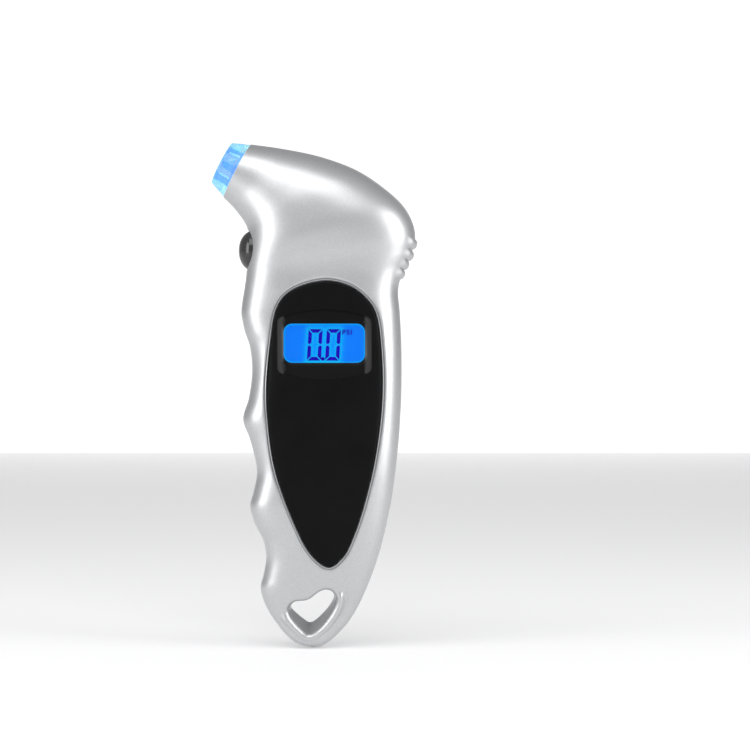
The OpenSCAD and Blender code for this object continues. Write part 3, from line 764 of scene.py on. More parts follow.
def panel_top(at):
    x, z = at.T
    y = case_depth(x, z, -panel_proud)
    y = y + wavering(-outline_distance(x, z, panel_outline), [
        (0, -0.42), (0.1, -0.2), (0.26, -0.05), (0.42, 0),
    ])
    inside = -outline_distance(x, z, dish_outline)
    beyond = np.maximum(outline_distance(x, z, window_outline), 0)
    fall = np.clip(inside, 0, None) / np.maximum(np.clip(inside, 0, None) + beyond, 1e-6)
    fall = np.where(inside > 0, fall, 0)
    y = y * (1 - fall) + dish_depth_y * fall
    y = y - 0.3 * (inside > 0.09) * (1 - fall)
    y = y - 0.12 * (beyond < 0.12)
    return np.stack([x, -y, z], axis=1)


def panel_bottom(at, upper):
    x, z = at.T
    y = case_depth(x, z, 1.25)
    y = np.where(outline_distance(x, z, bezel_block) < 0, 10.2, y)
    return np.stack([x, -np.minimum(y, -upper[:, 1] - 0.3), z], axis=1)


panel = plate(
    "black_face_panel", panel_outline, [window_outline],
    [
        (panel_outline, (-0.1, -0.26, -0.42)),
        (dish_outline, (0.15, 0.0, -0.1, -0.2, -0.5)),
        (window_outline, (0.11, 0.3, 0.8)),
        (bezel_block, (0.03, -0.03)),
    ],
    panel_top, panel_bottom,
)


def black_mould():
    """Fine spark-eroded grain: matt, very dark grey, faintly mottled."""
    finish, nodes, links, shader = new_finish("black_grained_plastic")
    speck = grain(nodes, links, 2600, 3)
    cloud = grain(nodes, links, 90, 2)
    polish = nodes.new("ShaderNodeAttribute")
    polish.attribute_name = "polish"
    colour = blend_of(nodes, links, cloud, (0.0018, 0.0018, 0.0021, 1), (0.0034, 0.0034, 0.0039, 1))
    links.new(colour, shader.inputs["Base Color"])
    gleam = nodes.new("ShaderNodeMapRange")
    gleam.inputs["To Min"].default_value = 0.1
    gleam.inputs["To Max"].default_value = 0.8
    links.new(polish.outputs["Fac"], gleam.inputs["Value"])
    links.new(gleam.outputs["Result"], shader.inputs["Specular IOR Level"])
    roughen(nodes, links, shader, speck, 0.36, 0.48)
    dent(nodes, links, shader, speck, 0.3, 0.00005)
    return finish


# The dish's two side walls are polished, and catch the side lights.
spots = np.empty(len(panel.data.vertices) * 3)
panel.data.vertices.foreach_get("co", spots)
spots = spots.reshape(-1, 3) * 1000
walls = (
    (outline_distance(spots[:, 0], spots[:, 2], dish_outline) < 0.02)
    * np.clip((np.abs(spots[:, 0] - bezel_x) - 10.5) / 0.3, 0, 1)
    * (spots[:, 1] < -10.9)
)
polished = panel.data.attributes.new("polish", "FLOAT", "POINT")
polished.data.foreach_set("value", walls.astype(np.float32))
panel.data.materials.append(black_mould())
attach(panel, "case")
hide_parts("face_panel")

# ---------------------------------------------------------------------------
# Battery cover. A silver teardrop plate in the back half, following the case's
# curve, with a screw boss at its narrow end. One screw holds it down.
# ---------------------------------------------------------------------------
cover_edge = cover_outline(0.0)
well_r, boss_r = 2.55, 3.3
well_floor_y, boss_end_y = 6.62, 5.62
screw_well = circle_outline(cover_x, boss_z, well_r, 40)
screw_hole = circle_outline(cover_x, boss_z, 1.3, 32)
boss_edge = circle_outline(cover_x, boss_z, boss_r, 48)


def cover_top(at):
    x, z = at.T
    y = case_depth(x, z, 0)
    y = y + wavering(-outline_distance(x, z, cover_edge), [(0, -0.3), (0.1, -0.1), (0.28, 0)])
    r = np.hypot(x - cover_x, z - boss_z)
    y = y + wavering(r - well_r, [(0.02, -0.2), (0.12, -0.05), (0.3, 0)]) * (r > well_r - 0.01)
    y = np.where(r < well_r - 0.01, well_floor_y, y)
    return np.stack([x, y, z], axis=1)


def cover_bottom(at, upper):
    x, z = at.T
    y = case_depth(x, z, 0) - 1.72
    y = np.where(np.hypot(x - cover_x, z - boss_z) < boss_r, boss_end_y, y)
    return np.stack([x, np.minimum(y, upper[:, 1] - 0.3), z], axis=1)


cover = plate(
    "silver_battery_cover", cover_edge, [screw_hole],
    [
        (cover_edge, (-0.1, -0.28)),
        (screw_well, (0.3, 0.12, 0.02, -0.04)),
        (boss_edge, (0.02, -0.03)),
    ],
    cover_top, cover_bottom,
)
cover.data.materials.append(silver)
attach(cover, "battery_cover")
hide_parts("battery_cover")

# ---------------------------------------------------------------------------
# Push button. A glossy black domed oval, moulded with a flange that holds it
# behind the wall and a short stem that meets the switch.
# ---------------------------------------------------------------------------
dome_edge_x, dome_rise = -16.7, 3.45
flange_back_x, flange_rim = -13.6, 0.9
stem_r, stem_end_x = 2.2, -13.2


def lofted(name, rings):
    """A closed skin through rings of equal count; the end rings are capped."""
    count = len(rings[0])
    points = np.vstack(rings + [rings[0].mean(axis=0)[None], rings[-1].mean(axis=0)[None]])
    first_hub, last_hub = len(rings) * count, len(rings) * count + 1
    faces = []
    for i in range(len(rings) - 1):
        for k in range(count):
            m = (k + 1) % count
            faces.append((i * count + k, i * count + m, (i + 1) * count + m, (i + 1) * count + k))
    for k in range(count):
        m = (k + 1) % count
        faces.append((first_hub, m, k))
        base = (len(rings) - 1) * count
        faces.append((last_hub, base + k, base + m))
    mesh = bpy.data.meshes.new(name)
    mesh.from_pydata(points * 0.001, [], faces)
    return finished_piece(name, mesh, 38)


ring_count = 120
ring_angles = np.linspace(0, 2 * math.pi, ring_count, endpoint=False)


def oval_ring(part, grow, x):
    """The button's oval at this part of its full size, grown, and standing at x."""
    spread = button_spread * np.tanh(np.cos(ring_angles) * 6)
    y = part * (spread + (button_r + grow) * np.cos(ring_angles))
    z = button_z + part * (button_r + grow) * np.sin(ring_angles)
    return np.stack([np.full(ring_count, x), y, z], axis=1)


def dome_ring(part):
    return oval_ring(part, 0.0, dome_edge_x - dome_rise * (1 - part**2.25)**0.6)


def stem_ring(r, x):
    y, z = r * np.cos(ring_angles), button_z + r * np.sin(ring_angles)
    return np.stack([np.full(ring_count, x), y, z], axis=1)


button_rings = [dome_ring(p) for p in np.sin(np.linspace(0.03, math.pi / 2, 34))]
button_rings += [
    oval_ring(1.0, 0.0, flange_front_x - 0.1), oval_ring(1.0, 0.0, flange_front_x),
    oval_ring(1.0, flange_rim - 0.04, flange_front_x), oval_ring(1.0, flange_rim, flange_front_x + 0.1),
    oval_ring(1.0, flange_rim, flange_back_x), stem_ring(stem_r, flange_back_x),
    stem_ring(stem_r, stem_end_x), stem_ring(0.6, stem_end_x),
]
push_button = lofted("black_push_button", button_rings)


def gloss_black():
    finish, nodes, links, shader = new_finish("gloss_black_plastic")
    haze = grain(nodes, links, 260, 3)
    colour = blend_of(nodes, links, haze, (0.008, 0.008, 0.009, 1), (0.014, 0.014, 0.016, 1))
    links.new(colour, shader.inputs["Base Color"])
    shader.inputs["Specular IOR Level"].default_value = 0.8
    roughen(nodes, links, shader, haze, 0.16, 0.22)
    dent(nodes, links, shader, haze, 0.04, 0.00004)
    return finish


push_button.data.materials.append(gloss_black())
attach(push_button, "button")
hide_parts("button")

# ---------------------------------------------------------------------------
# Display figures. Printed electrodes in dark blue: two noughts of six pointed
# bars with thin gaps, a decimal point and a small pressure unit.
# ---------------------------------------------------------------------------
figure_back, figure_front = 9.10, 9.18
lean_tan = math.tan(math.radians(3.2))


def leaning(points):
    points = np.array(points, float)
    points[:, 0] += points[:, 1] * lean_tan
    return points


def nought(cx, cz):
    """Six bars with mitred corners, and points where the side bars meet."""
    w, h, t, gap = 3.75, 8.3, 0.98, 0.2
    x, z = w / 2, h / 2
    bars = []
    for up in (1, -1):
        bars.append([
            (-x + gap, up * z), (x - gap, up * z),
            (x - t - gap, up * (z - t)), (-x + t + gap, up * (z - t)),
        ])
        for side in (1, -1):
            bars.append([
                (side * x, up * (z - gap)), (side * (x - t), up * (z - t - gap)),
                (side * (x - t), up * 0.55), (side * (x - t / 2), up * 0.14), (side * x, up * 0.4),
            ])
    return [leaning(np.array(bar) + [cx, cz]) for bar in bars]


def plain_bar(x0, z0, x1, z1):
    return leaning([[x0, z0], [x1, z0], [x1, z1], [x0, z1]])


figure_shapes = []
for centre in (-2.475, 2.335):
    figure_shapes += nought(centre, -0.4)
dot_angle = np.linspace(0, 2 * math.pi, 16, endpoint=False)
figure_shapes.append(np.stack([-0.35 + 0.5 * np.cos(dot_angle), -4.1 + 0.5 * np.sin(dot_angle)], axis=1))
unit_strokes = [
    (4.56, 2.26, 4.88, 3.6), (4.88, 3.3, 5.44, 3.6), (4.88, 2.74, 5.44, 3.0), (5.14, 3.0, 5.44, 3.3),
    (5.72, 3.32, 6.5, 3.6), (5.72, 3.05, 6.02, 3.32), (5.72, 2.8, 6.5, 3.05),
    (6.2, 2.54, 6.5, 2.8), (5.72, 2.26, 6.5, 2.54), (6.8, 2.26, 7.12, 3.6),
]
large_figures = len(figure_shapes)
figure_shapes += [plain_bar(*stroke) for stroke in unit_strokes]

figure_points, figure_faces = [], []
for shape in figure_shapes:
    first, n = len(figure_points), len(shape)
    for depth in (figure_front, figure_back):
        figure_points += [(bezel_x + px, -depth, bezel_z + pz) for px, pz in shape]
    figure_faces.append(tuple(range(first, first + n)))
    figure_faces.append(tuple(reversed(range(first + n, first + 2 * n))))
    for k in range(n):
        m = (k + 1) % n
        figure_faces.append((first + k, first + n + k, first + n + m, first + m))
figure_mesh = bpy.data.meshes.new("display_figures")
figure_mesh.from_pydata(np.array(figure_points) * 0.001, [], figure_faces)
figures = finished_piece("display_figures", figure_mesh, 30)
ink, nodes, links, shader = new_finish("display_ink")
tone = blend_of(nodes, links, grain(nodes, links, 900), (0.004, 0.001, 0.2, 1), (0.008, 0.002, 0.27, 1))
links.new(tone, shader.inputs["Base Color"])
links.new(tone, shader.inputs["Emission Color"])
shader.inputs["Emission Strength"].default_value = 1.1
shader.inputs["Specular IOR Level"].default_value = 0.04
shader.inputs["Roughness"].default_value = 0.4
figures.data.materials.append(ink)
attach(figures, "case")
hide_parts("lcd_figures")

# ---------------------------------------------------------------------------
# Display glass. Two bonded sheets lit from behind in azure. The light is
# brighter round the figures and along the edge of the window.
# ---------------------------------------------------------------------------
glass_w, glass_h, glass_front, glass_back = 25.0, 15.0, 9.05, 6.85
glass_nx, glass_nz = 150, 90
gx, gz = np.meshgrid(
    np.linspace(-glass_w / 2, glass_w / 2, glass_nx + 1),
    np.linspace(-glass_h / 2, glass_h / 2, glass_nz + 1),
)
face_x, face_z = gx.ravel(), gz.ravel()
nearest = np.full(len(face_x), 9.0)
for shape in figure_shapes[:large_figures]:
    nearest = np.minimum(nearest, np.maximum(outline_distance(face_x, face_z, shape), 0))
edge_gap = -outline_distance(face_x + bezel_x, face_z + bezel_z, window_outline)
halo = 0.75 * np.exp(-(nearest / 0.85)**2) + 0.55 * np.exp(-(np.maximum(edge_gap, 0) / 0.35)**2)
n = len(face_x)
glass_points = np.vstack([
    np.stack([face_x + bezel_x, np.full(n, -glass_front), face_z + bezel_z], axis=1),
    np.stack([face_x + bezel_x, np.full(n, -glass_back), face_z + bezel_z], axis=1),
])
glass_faces = []
for j in range(glass_nz):
    for i in range(glass_nx):
        a = j * (glass_nx + 1) + i
        b, c, d = a + 1, a + glass_nx + 2, a + glass_nx + 1
        glass_faces += [(a, b, c, d), (n + d, n + c, n + b, n + a)]
border = list(range(glass_nx))
border += [j * (glass_nx + 1) + glass_nx for j in range(glass_nz)]
border += [glass_nz * (glass_nx + 1) + i for i in range(glass_nx, 0, -1)]
border += [j * (glass_nx + 1) for j in range(glass_nz, 0, -1)]
for k, a in enumerate(border):
    b = border[(k + 1) % len(border)]
    glass_faces.append((b, a, n + a, n + b))
glass_mesh = bpy.data.meshes.new("display_glass")
glass_mesh.from_pydata(glass_points * 0.001, [], glass_faces)
glow = glass_mesh.attributes.new("glow", "FLOAT", "POINT")
glow.data.foreach_set("value", np.clip(np.concatenate([halo, halo * 0]), 0, 1).astype(np.float32))
display_glass = new_object("display_glass", glass_mesh)
lit, nodes, links, shader = new_finish("lit_display_blue")
read_glow = nodes.new("ShaderNodeAttribute")
read_glow.attribute_name = "glow"
ramp = nodes.new("ShaderNodeValToRGB")
ramp.color_ramp.elements[0].color = (0.0, 0.2, 1.0, 1)
ramp.color_ramp.elements[1].color = (0.0, 0.54, 1.0, 1)
links.new(read_glow.outputs["Fac"], ramp.inputs["Fac"])
shader.inputs["Base Color"].default_value = (0.0, 0.04, 0.12, 1)
links.new(ramp.outputs["Color"], shader.inputs["Emission Color"])
shader.inputs["Emission Strength"].default_value = 0.86
shader.inputs["Specular IOR Level"].default_value = 0.15
roughen(nodes, links, shader, grain(nodes, links, 1500), 0.2, 0.3)
display_glass.data.materials.append(lit)
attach(display_glass, "case")
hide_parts("lcd_glass")

# ---------------------------------------------------------------------------
# Nozzle parts. A clear polycarbonate ring pressed over a blue sleeve, lit by two
# lamps; inside the bore are the rubber seal and the metal pin.
# ---------------------------------------------------------------------------
nozzle_at = Vector((-0.020465, 0, 0.127268))
nozzle_out = Vector((-0.8854, 0, 0.4648)).normalized()
nozzle_side = Vector((0, 1, 0))
nozzle_up = nozzle_out.cross(nozzle_side).normalized()


def at_nozzle(s, r, a):
    """A point r from the nozzle's axis, s along it and turned by a, in metres."""
    return (
        nozzle_at + nozzle_out * (s * 0.001)
        + nozzle_side * (r * 0.001 * math.cos(a)) + nozzle_up * (r * 0.001 * math.sin(a))
    )


def turned(name, profile):
    """A ring-shaped piece from a closed profile of (s, r) points."""
    count = 96
    points = [
        at_nozzle(s, r, 2 * math.pi * k / count) for k in range(count) for s, r in profile
    ]
    m = len(profile)
    faces = []
    for k in range(count):
        for i in range(m):
            j, q = (i + 1) % m, (k + 1) % count
            faces.append((k * m + i, k * m + j, q * m + j, q * m + i))
    mesh = bpy.data.meshes.new(name)
    mesh.from_pydata(points, [], faces)
    return finished_piece(name, mesh, 34)


cap_ring = turned("clear_nozzle_ring", [
    (-1.05, 5.15), (4.35, 5.15), (4.6, 5.25), (4.78, 5.5), (4.8, 5.75), (4.72, 5.98),
    (4.5, 6.14), (4.0, 6.32), (2.4, 6.98), (0.9, 7.5), (0.25, 7.78), (0.07, 7.82),
    (0.06, 5.8), (-1.05, 5.8),
])
clear_ring, shader = patterned(
    "frosted_clear_polycarbonate", (0.34, 0.78, 1.0), (0.6, 0.93, 1.0), (0.03, 0.1), 700, glow=0.14
)
shader.inputs["Transmission Weight"].default_value = 1.0
shader.inputs["IOR"].default_value = 1.5
cap_ring.data.materials.append(clear_ring)
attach(cap_ring, "case")
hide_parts("nozzle_cap")


def node_tree(name, inputs):
    """A new Geometry Nodes tree with named float inputs; returns its parts."""
    tree = bpy.data.node_groups.new(name, "GeometryNodeTree")
    tree.interface.new_socket("Geometry", in_out="INPUT", socket_type="NodeSocketGeometry")
    ids = {}
    for label, value in inputs.items():
        socket = tree.interface.new_socket(label, in_out="INPUT", socket_type="NodeSocketFloat")
        socket.default_value = value
        ids[label] = (socket.identifier, value)
    tree.interface.new_socket("Geometry", in_out="OUTPUT", socket_type="NodeSocketGeometry")
    enter = tree.nodes.new("NodeGroupInput")
    leave = tree.nodes.new("NodeGroupOutput")
    return tree, enter, leave, ids


def add_node(tree, kind, fixed, fed):
    """A new node with its fixed inputs set and its other inputs linked."""
    made = tree.nodes.new(kind)
    for label, value in fixed.items():
        made.inputs[label].default_value = value
    for label, source in fed.items():
        tree.links.new(source, made.inputs[label])
    return made


def grown_by_nodes(name, seed_mesh, tree, ids, sharp_degrees=34):
    """Runs a node tree on a seed mesh and keeps the result as a plain mesh."""
    seed = new_object(name + "_seed", seed_mesh)
    modifier = seed.modifiers.new("nodes", "NODES")
    modifier.node_group = tree
    for identifier, value in ids.values():
        modifier[identifier] = value
    state = bpy.context.evaluated_depsgraph_get()
    made = bpy.data.meshes.new_from_object(seed.evaluated_get(state), depsgraph=state)
    seed.modifiers.clear()
    bpy.data.objects.remove(seed)
    made.name = name
    return finished_piece(name, made, sharp_degrees)


def finish_tree(tree, last, leave, finish):
    """Ends a tree: the instances are made real and given their material."""
    realize = add_node(tree, "GeometryNodeRealizeInstances", {}, {"Geometry": last})
    paint = add_node(
        tree, "GeometryNodeSetMaterial", {"Material": finish}, {"Geometry": realize.outputs["Geometry"]}
    )
    tree.links.new(paint.outputs["Geometry"], leave.inputs["Geometry"])


def points_mesh(name, points):
    mesh = bpy.data.meshes.new(name)
    mesh.from_pydata([Vector(p) * 0.001 for p in points], [], [])
    return mesh


# Thin fins moulded inside the ring carry the light out to its rim.
fin_finish, shader = patterned(
    "clear_ring_fins", (0.3, 0.72, 1.0), (0.7, 0.95, 1.0), (0.1, 0.2), 800, 2, glow=0.12
)
tree, enter, leave, ids = node_tree("ring_fin_nodes", {"Circle radius": 0.00572, "Thickness": 0.00024})
circle = add_node(
    tree, "GeometryNodeMeshCircle", {"Vertices": 6}, {"Radius": enter.outputs["Circle radius"]}
)
fin_size = add_node(
    tree, "ShaderNodeCombineXYZ", {"X": 0.001, "Z": 0.0032}, {"Y": enter.outputs["Thickness"]}
)
fin = add_node(tree, "GeometryNodeMeshCube", {}, {"Size": fin_size.outputs["Vector"]})
spot_at = add_node(tree, "GeometryNodeInputPosition", {}, {})
aim = tree.nodes.new("FunctionNodeAlignEulerToVector")
aim.axis = "X"
aim.pivot_axis = "Z"
tree.links.new(spot_at.outputs["Position"], aim.inputs["Vector"])
place = add_node(tree, "GeometryNodeInstanceOnPoints", {}, {
    "Points": circle.outputs["Mesh"], "Instance": fin.outputs["Mesh"], "Rotation": aim.outputs["Rotation"],
})
ring_frame = Matrix((nozzle_side, nozzle_up, nozzle_out)).transposed()
onto_axis = add_node(tree, "GeometryNodeTransform", {
    "Translation": nozzle_at + nozzle_out * 0.0021,
    "Rotation": (ring_frame @ Matrix.Rotation(math.radians(30), 3, "Z")).to_euler(),
}, {"Geometry": place.outputs["Instances"]})
finish_tree(tree, onto_axis.outputs["Geometry"], leave, fin_finish)
fins = grown_by_nodes("nozzle_ring_fins", points_mesh("fin_seed", [(0, 0, 0)]), tree, ids)
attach(fins, "case")

sleeve = turned("blue_nozzle_sleeve", [
    (-9.0, 4.2), (-4.5, 4.2), (-4.5, 4.7), (-1.8, 4.7), (-1.8, 4.15), (4.0, 4.15),
    (4.16, 4.25), (4.2, 4.45), (4.2, 4.8), (4.08, 4.98), (-1.15, 4.98), (-1.15, 5.3), (-9.0, 5.3),
])
sleeve_blue, shader = patterned(
    "lit_blue_sleeve", (0.0, 0.1, 0.62), (0.0, 0.2, 0.86), (0.16, 0.28), 320, 2, glow=0.5
)
sleeve.data.materials.append(sleeve_blue)
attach(sleeve, "case")
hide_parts("chuck_sleeve")

# ---------------------------------------------------------------------------
# Case screws. Four alike pan-head steel screws with crossed slots, driven from
# the back half into bosses in the display half.
# ---------------------------------------------------------------------------
screw_finish, shader = patterned(
    "zinc_plated_steel", (0.5, 0.51, 0.53), (0.66, 0.67, 0.69), (0.22, 0.38), 1400, 4, (1, 6, 1),
    metal=1.0, bump=0.15,
)


def screw_tree(name, shank):
    """A head with crossed slots on a plain shank, set on each point of the seed."""
    tree, enter, leave, ids = node_tree(name, {
        "Head radius": 0.0023, "Head depth": 0.0017, "Shank radius": 0.0012,
        "Shank length": shank * 0.001,
    })
    size = enter.outputs
    head = add_node(tree, "GeometryNodeMeshCylinder", {"Vertices": 48}, {
        "Radius": size["Head radius"], "Depth": size["Head depth"],
    })
    head_at = add_node(
        tree, "GeometryNodeTransform", {"Translation": (0, 0, 0.00085)}, {"Geometry": head.outputs["Mesh"]}
    )
    slots = tree.nodes.new("GeometryNodeMeshBoolean")
    slots.operation = "DIFFERENCE"
    tree.links.new(head_at.outputs["Geometry"], slots.inputs["Mesh 1"])
    for slot_size in ((0.0026, 0.0006, 0.002), (0.0006, 0.0026, 0.002)):
        cut = add_node(tree, "GeometryNodeMeshCube", {"Size": slot_size}, {})
        cut_at = add_node(
            tree, "GeometryNodeTransform", {"Translation": (0, 0, 0.0019)}, {"Geometry": cut.outputs["Mesh"]}
        )
        tree.links.new(cut_at.outputs["Geometry"], slots.inputs["Mesh 2"])
    rod = add_node(tree, "GeometryNodeMeshCylinder", {"Vertices": 24}, {
        "Radius": size["Shank radius"], "Depth": size["Shank length"],
    })
    rod_at = add_node(
        tree, "GeometryNodeTransform", {"Translation": (0, 0, -shank * 0.0005)},
        {"Geometry": rod.outputs["Mesh"]},
    )
    whole = add_node(tree, "GeometryNodeJoinGeometry", {}, {"Geometry": slots.outputs["Mesh"]})
    tree.links.new(rod_at.outputs["Geometry"], whole.inputs["Geometry"])
    place = add_node(tree, "GeometryNodeInstanceOnPoints", {"Rotation": (-math.pi / 2, 0, 0)}, {
        "Points": size["Geometry"], "Instance": whole.outputs["Geometry"],
    })
    finish_tree(tree, place.outputs["Instances"], leave, screw_finish)
    return tree, ids


case_screw_seats = [(x, level + 0.05, z) for x, z, _, level in screw_pockets]
tree, ids = screw_tree("case_screw_nodes", 11.8)
case_screws = grown_by_nodes("case_screws", points_mesh("case_screw_points", case_screw_seats), tree, ids)
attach(case_screws, "case")
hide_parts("case_screws")

# ---------------------------------------------------------------------------
# Wires. Thin insulated leads soldered to the board: two to the nozzle lamps and
# two to the coin cell's contacts.
# ---------------------------------------------------------------------------
wire_finish, shader = patterned(
    "red_wire_insulation", (0.42, 0.012, 0.012), (0.55, 0.03, 0.025), (0.34, 0.5), 900, 2
)


def wires(name, runs, node):
    """Round wires along smooth runs, made by sweeping a circle."""
    tree, enter, leave, ids = node_tree(name + "_nodes", {"Wire radius": 0.00045})
    path = add_node(tree, "GeometryNodeMeshToCurve", {}, {"Mesh": enter.outputs["Geometry"]})
    profile = add_node(
        tree, "GeometryNodeCurvePrimitiveCircle", {"Resolution": 12}, {"Radius": enter.outputs["Wire radius"]}
    )
    tube = add_node(tree, "GeometryNodeCurveToMesh", {"Fill Caps": True}, {
        "Curve": path.outputs["Curve"], "Profile Curve": profile.outputs["Curve"],
    })
    finish_tree(tree, tube.outputs["Mesh"], leave, wire_finish)
    points, edges = [], []
    for run in runs:
        run = np.array(run, float)
        rounded = []
        for i in range(len(run) - 1):
            around = [run[max(i - 1, 0)], run[i], run[i + 1], run[min(i + 2, len(run) - 1)]]
            rounded += [smooth_between(*around, t) for t in np.arange(0, 1, 0.125)]
        rounded.append(run[-1])
        first = len(points)
        points += [tuple(p * 0.001) for p in rounded]
        edges += [(first + k, first + k + 1) for k in range(len(rounded) - 1)]
    seed = bpy.data.meshes.new(name + "_path")
    seed.from_pydata(points, edges, [])
    piece = grown_by_nodes(name, seed, tree, ids, 60)
    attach(piece, "case")
    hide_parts(node)


lead_x = -20.465 + 12.6 * 0.8854
lead_z = 127.268 - 12.6 * 0.4648
wires("lamp_wires", [
    [(lead_x, 6.5, lead_z), (-7.6, 5.4, 118.5), (-7.5, 3, 115), (-7.5, -0.6, 111.6), (-7.5, -2.5, 109.4)],
    [(lead_x, -6.5, lead_z), (-7.4, -6.4, 119), (-6, -6.2, 115.6), (-5.2, -5.6, 112.4), (-5, -4.7, 109.4)],
], "led_wires")
wires("battery_wires", [
    [(x, -2.5, 61), (x, -1.4, 58.6), (x, 0.8, 56), (x, 2.6, 53.5), (x, 4.9, 53.5)] for x in (-3, 9)
], "battery_wires")

# ---------------------------------------------------------------------------
# Small board parts. Surface-mounted resistors and capacitors, drawn as plain blocks
# of one ceramic finish, set in rows on the back of the circuit board.
# ---------------------------------------------------------------------------
part_finish, shader = patterned(
    "ceramic_board_parts", (0.32, 0.2, 0.11), (0.5, 0.36, 0.22), (0.35, 0.55), 600, 2
)


def part_row_tree(size):
    """One small block, set on each point of the seed."""
    tree, enter, leave, ids = node_tree("board_part_nodes", {
        "Length": size[0] * 0.001, "Height": size[1] * 0.001, "Width": size[2] * 0.001,
    })
    join = add_node(tree, "ShaderNodeCombineXYZ", {}, {
        axis: enter.outputs[label] for label, axis in (("Length", "X"), ("Height", "Y"), ("Width", "Z"))
    })
    block = add_node(tree, "GeometryNodeMeshCube", {}, {"Size": join.outputs["Vector"]})
    place = add_node(tree, "GeometryNodeInstanceOnPoints", {}, {
        "Points": enter.outputs["Geometry"], "Instance": block.outputs["Mesh"],
    })
    finish_tree(tree, place.outputs["Instances"], leave, part_finish)
    return tree, ids


part_rows = [
    ("board_parts_low", (1.6, 0.7, 0.9), [(-4.7 + 3.2 * i, -2.6, 73.45) for i in range(5)]),
    ("board_parts_side", (0.9, 0.7, 1.6), [(11.45, -2.6, 72.8 + 4 * i) for i in range(4)]),
    ("board_parts_upper", (1.2, 0.9, 1.2), [(-5.4, -2.5, 86.6 + 3 * i) for i in range(3)]),
]
for name, size, spots in part_rows:
    tree, ids = part_row_tree(size)
    row = grown_by_nodes(name, points_mesh(name + "_points", spots), tree, ids)
    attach(row, "case")
    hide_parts("board_parts")

# ---------------------------------------------------------------------------
# Inner parts kept in their own shapes. Each has the look of its real material:
# solder-masked board, moulded chips, rubber, tinned metal, clear plastics.
# ---------------------------------------------------------------------------


def dress(node, finish):
    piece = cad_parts[node]
    piece.data.materials.clear()
    piece.data.materials.append(finish)


lens_finish, nodes, links, shader = new_finish("clear_lens")
nodes.remove(shader)
see_through = nodes.new("ShaderNodeBsdfTransparent")
see_through.inputs["Color"].default_value = (0.97, 0.985, 1.0, 1)
gloss = nodes.new("ShaderNodeBsdfGlossy")
lens_grain = grain(nodes, links, 300, 2)
lens_rough = nodes.new("ShaderNodeMapRange")
lens_rough.inputs["To Min"].default_value = 0.03
lens_rough.inputs["To Max"].default_value = 0.07
links.new(lens_grain, lens_rough.inputs["Value"])
links.new(lens_rough.outputs["Result"], gloss.inputs["Roughness"])
shine = nodes.new("ShaderNodeFresnel")
shine.inputs["IOR"].default_value = 1.12
mix = nodes.new("ShaderNodeMixShader")
links.new(shine.outputs["Fac"], mix.inputs["Fac"])
links.new(see_through.outputs["BSDF"], mix.inputs[1])
links.new(gloss.outputs["BSDF"], mix.inputs[2])
links.new(mix.outputs["Shader"], nodes["Material Output"].inputs["Surface"])
dress("display_lens", lens_finish)

# Each row: material, its two colours, its roughness range, pattern scale and bump.
inner_looks = {
    "light_guide": ("guide_acrylic", (0.5, 0.75, 0.95), (0.62, 0.85, 1.0), (0.12, 0.22), 400, 0.05),
    "contact_strip": ("contact_rubber", (0.5, 0.2, 0.24), (0.66, 0.32, 0.36), (0.5, 0.7), 900, 0.2),
    "lcd_frame": ("white_frame_plastic", (0.78, 0.78, 0.75), (0.88, 0.88, 0.86), (0.35, 0.5), 700, 0.1),
    "backlight_led": ("lamp_resin", (0.55, 0.68, 0.9), (0.72, 0.82, 1.0), (0.12, 0.25), 500, 0.05),
    "circuit_board": (
        "solder_mask_green", (0.006, 0.075, 0.03), (0.015, 0.14, 0.055), (0.25, 0.42), 240, 0.15,
    ),
    "controller_chip": ("chip_epoxy", (0.012, 0.012, 0.013), (0.028, 0.028, 0.03), (0.45, 0.6), 1100, 0.25),
    "amplifier_chip": (
        "small_chip_epoxy", (0.012, 0.012, 0.014), (0.03, 0.03, 0.032), (0.45, 0.6), 1300, 0.25,
    ),
    "pressure_sensor": ("sensor_ceramic", (0.72, 0.71, 0.66), (0.85, 0.84, 0.8), (0.4, 0.55), 500, 0.15),
    "air_tube": ("silicone_tube", (0.62, 0.64, 0.62), (0.76, 0.78, 0.76), (0.25, 0.4), 400, 0.1),
    "pressure_port": ("port_nylon", (0.05, 0.05, 0.055), (0.09, 0.09, 0.095), (0.35, 0.5), 800, 0.15),
    "valve_seal": ("seal_rubber", (0.012, 0.014, 0.02), (0.03, 0.035, 0.05), (0.5, 0.68), 900, 0.2),
    "depressor_pin": ("plated_pin", (0.5, 0.52, 0.56), (0.66, 0.68, 0.72), (0.2, 0.34), 1200, 0.1),
    "nozzle_leds": ("blue_lamp_resin", (0.05, 0.25, 0.9), (0.12, 0.4, 1.0), (0.1, 0.2), 500, 0.05),
    "switch_plunger": ("plunger_plastic", (0.62, 0.62, 0.6), (0.74, 0.74, 0.72), (0.35, 0.5), 800, 0.1),
    "button_switch": ("switch_body", (0.03, 0.03, 0.033), (0.06, 0.06, 0.064), (0.38, 0.52), 900, 0.15),
    "coin_cell": ("stainless_can", (0.55, 0.56, 0.58), (0.64, 0.65, 0.66), (0.22, 0.28), 260, 0.02),
    "cell_contact": ("nickel_spring_strip", (0.5, 0.49, 0.46), (0.64, 0.63, 0.6), (0.22, 0.36), 1200, 0.1),
    "cover_screw": ("cover_screw_steel", (0.48, 0.49, 0.51), (0.64, 0.65, 0.67), (0.22, 0.36), 1400, 0.15),
}
bare_metal = ("depressor_pin", "coin_cell", "cell_contact", "cover_screw")
for node, (name, low, high, rough, scale, bump) in inner_looks.items():
    metal = 1.0 if node in bare_metal else 0.0
    dress(node, patterned(name, low, high, rough, scale, metal=metal, bump=bump)[0])

# ---------------------------------------------------------------------------
# Studio. A wide pale floor and a bright surround, with long soft lights at both
# sides and above so that the silver's edges catch white bands.
# ---------------------------------------------------------------------------


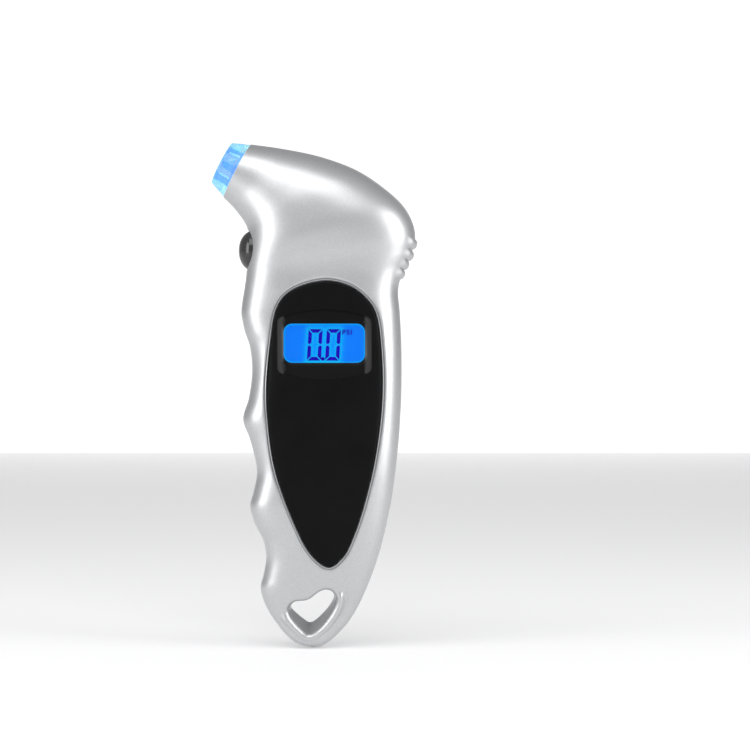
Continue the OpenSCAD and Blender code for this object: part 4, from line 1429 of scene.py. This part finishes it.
def studio_card(name, corners, face, finish_name, colour, glow):
    """A flat matt sheet with a little light of its own."""
    mesh = bpy.data.meshes.new(name)
    mesh.from_pydata(corners, [], [face])
    finish, _, _, shader = new_finish(finish_name)
    shader.inputs["Base Color"].default_value = colour
    shader.inputs["Roughness"].default_value = 0.9
    shader.inputs["Specular IOR Level"].default_value = 0.0
    shader.inputs["Emission Color"].default_value = (1, 1, 1, 1)
    shader.inputs["Emission Strength"].default_value = glow
    mesh.materials.append(finish)
    return new_object(name, mesh)


studio_floor = studio_card(
    "studio_floor", [(-6, -6, -0.0002), (6, -6, -0.0002), (6, 6, -0.0002), (-6, 6, -0.0002)],
    (0, 1, 2, 3), "pale_floor", (0.7, 0.7, 0.705, 1), 0.3,
)
backdrop = studio_card(
    "studio_backdrop", [(-0.6, 1.4, -0.0001), (0.6, 1.4, -0.0001), (0.6, 1.4, 0.7), (-0.6, 1.4, 0.7)],
    (0, 3, 2, 1), "white_card", (0.9, 0.9, 0.9, 1), 0.45,
)

world = bpy.data.worlds.new("studio_surround")
world.use_nodes = True
nodes, links = world.node_tree.nodes, world.node_tree.links
sky = nodes.new("ShaderNodeTexCoord")
part = nodes.new("ShaderNodeSeparateXYZ")
shade = nodes.new("ShaderNodeValToRGB")
stops = shade.color_ramp.elements
stops.remove(stops[-1])
for position, level in ((0.0, 0.48), (0.12, 0.54), (0.3, 0.55), (0.5, 0.5), (0.7, 0.38), (1.0, 0.36)):
    stop = stops[0] if position == 0.0 else stops.new(position)
    stop.color = (level, level, level * 1.01, 1)
span = nodes.new("ShaderNodeMapRange")
span.inputs["From Min"].default_value = -1
span.inputs["From Max"].default_value = 1
links.new(sky.outputs["Generated"], part.inputs["Vector"])
links.new(part.outputs["Y"], span.inputs["Value"])
links.new(span.outputs["Result"], shade.inputs["Fac"])
links.new(shade.outputs["Color"], nodes["Background"].inputs["Color"])
nodes["Background"].inputs["Strength"].default_value = 1.0
bpy.context.scene.world = world


def soft_light(name, at, aim, size, power):
    data = bpy.data.lights.new(name, "AREA")
    data.shape = "RECTANGLE"
    data.size, data.size_y = size
    data.energy = power
    light = new_object(name, data)
    light.location = at
    light.rotation_euler = (Vector(aim) - Vector(at)).to_track_quat("-Z", "Y").to_euler()


soft_light("left_softbox", (-0.5, -0.24, 0.14), (0, 0, 0.07), (0.26, 0.6), 1.5)
soft_light("right_softbox", (0.5, -0.24, 0.14), (0, 0, 0.07), (0.26, 0.6), 1.9)
soft_light("top_softbox", (-0.08, -0.34, 0.52), (0, 0, 0.1), (0.6, 0.36), 1.5)
bpy.context.scene.view_settings.view_transform = "Standard"
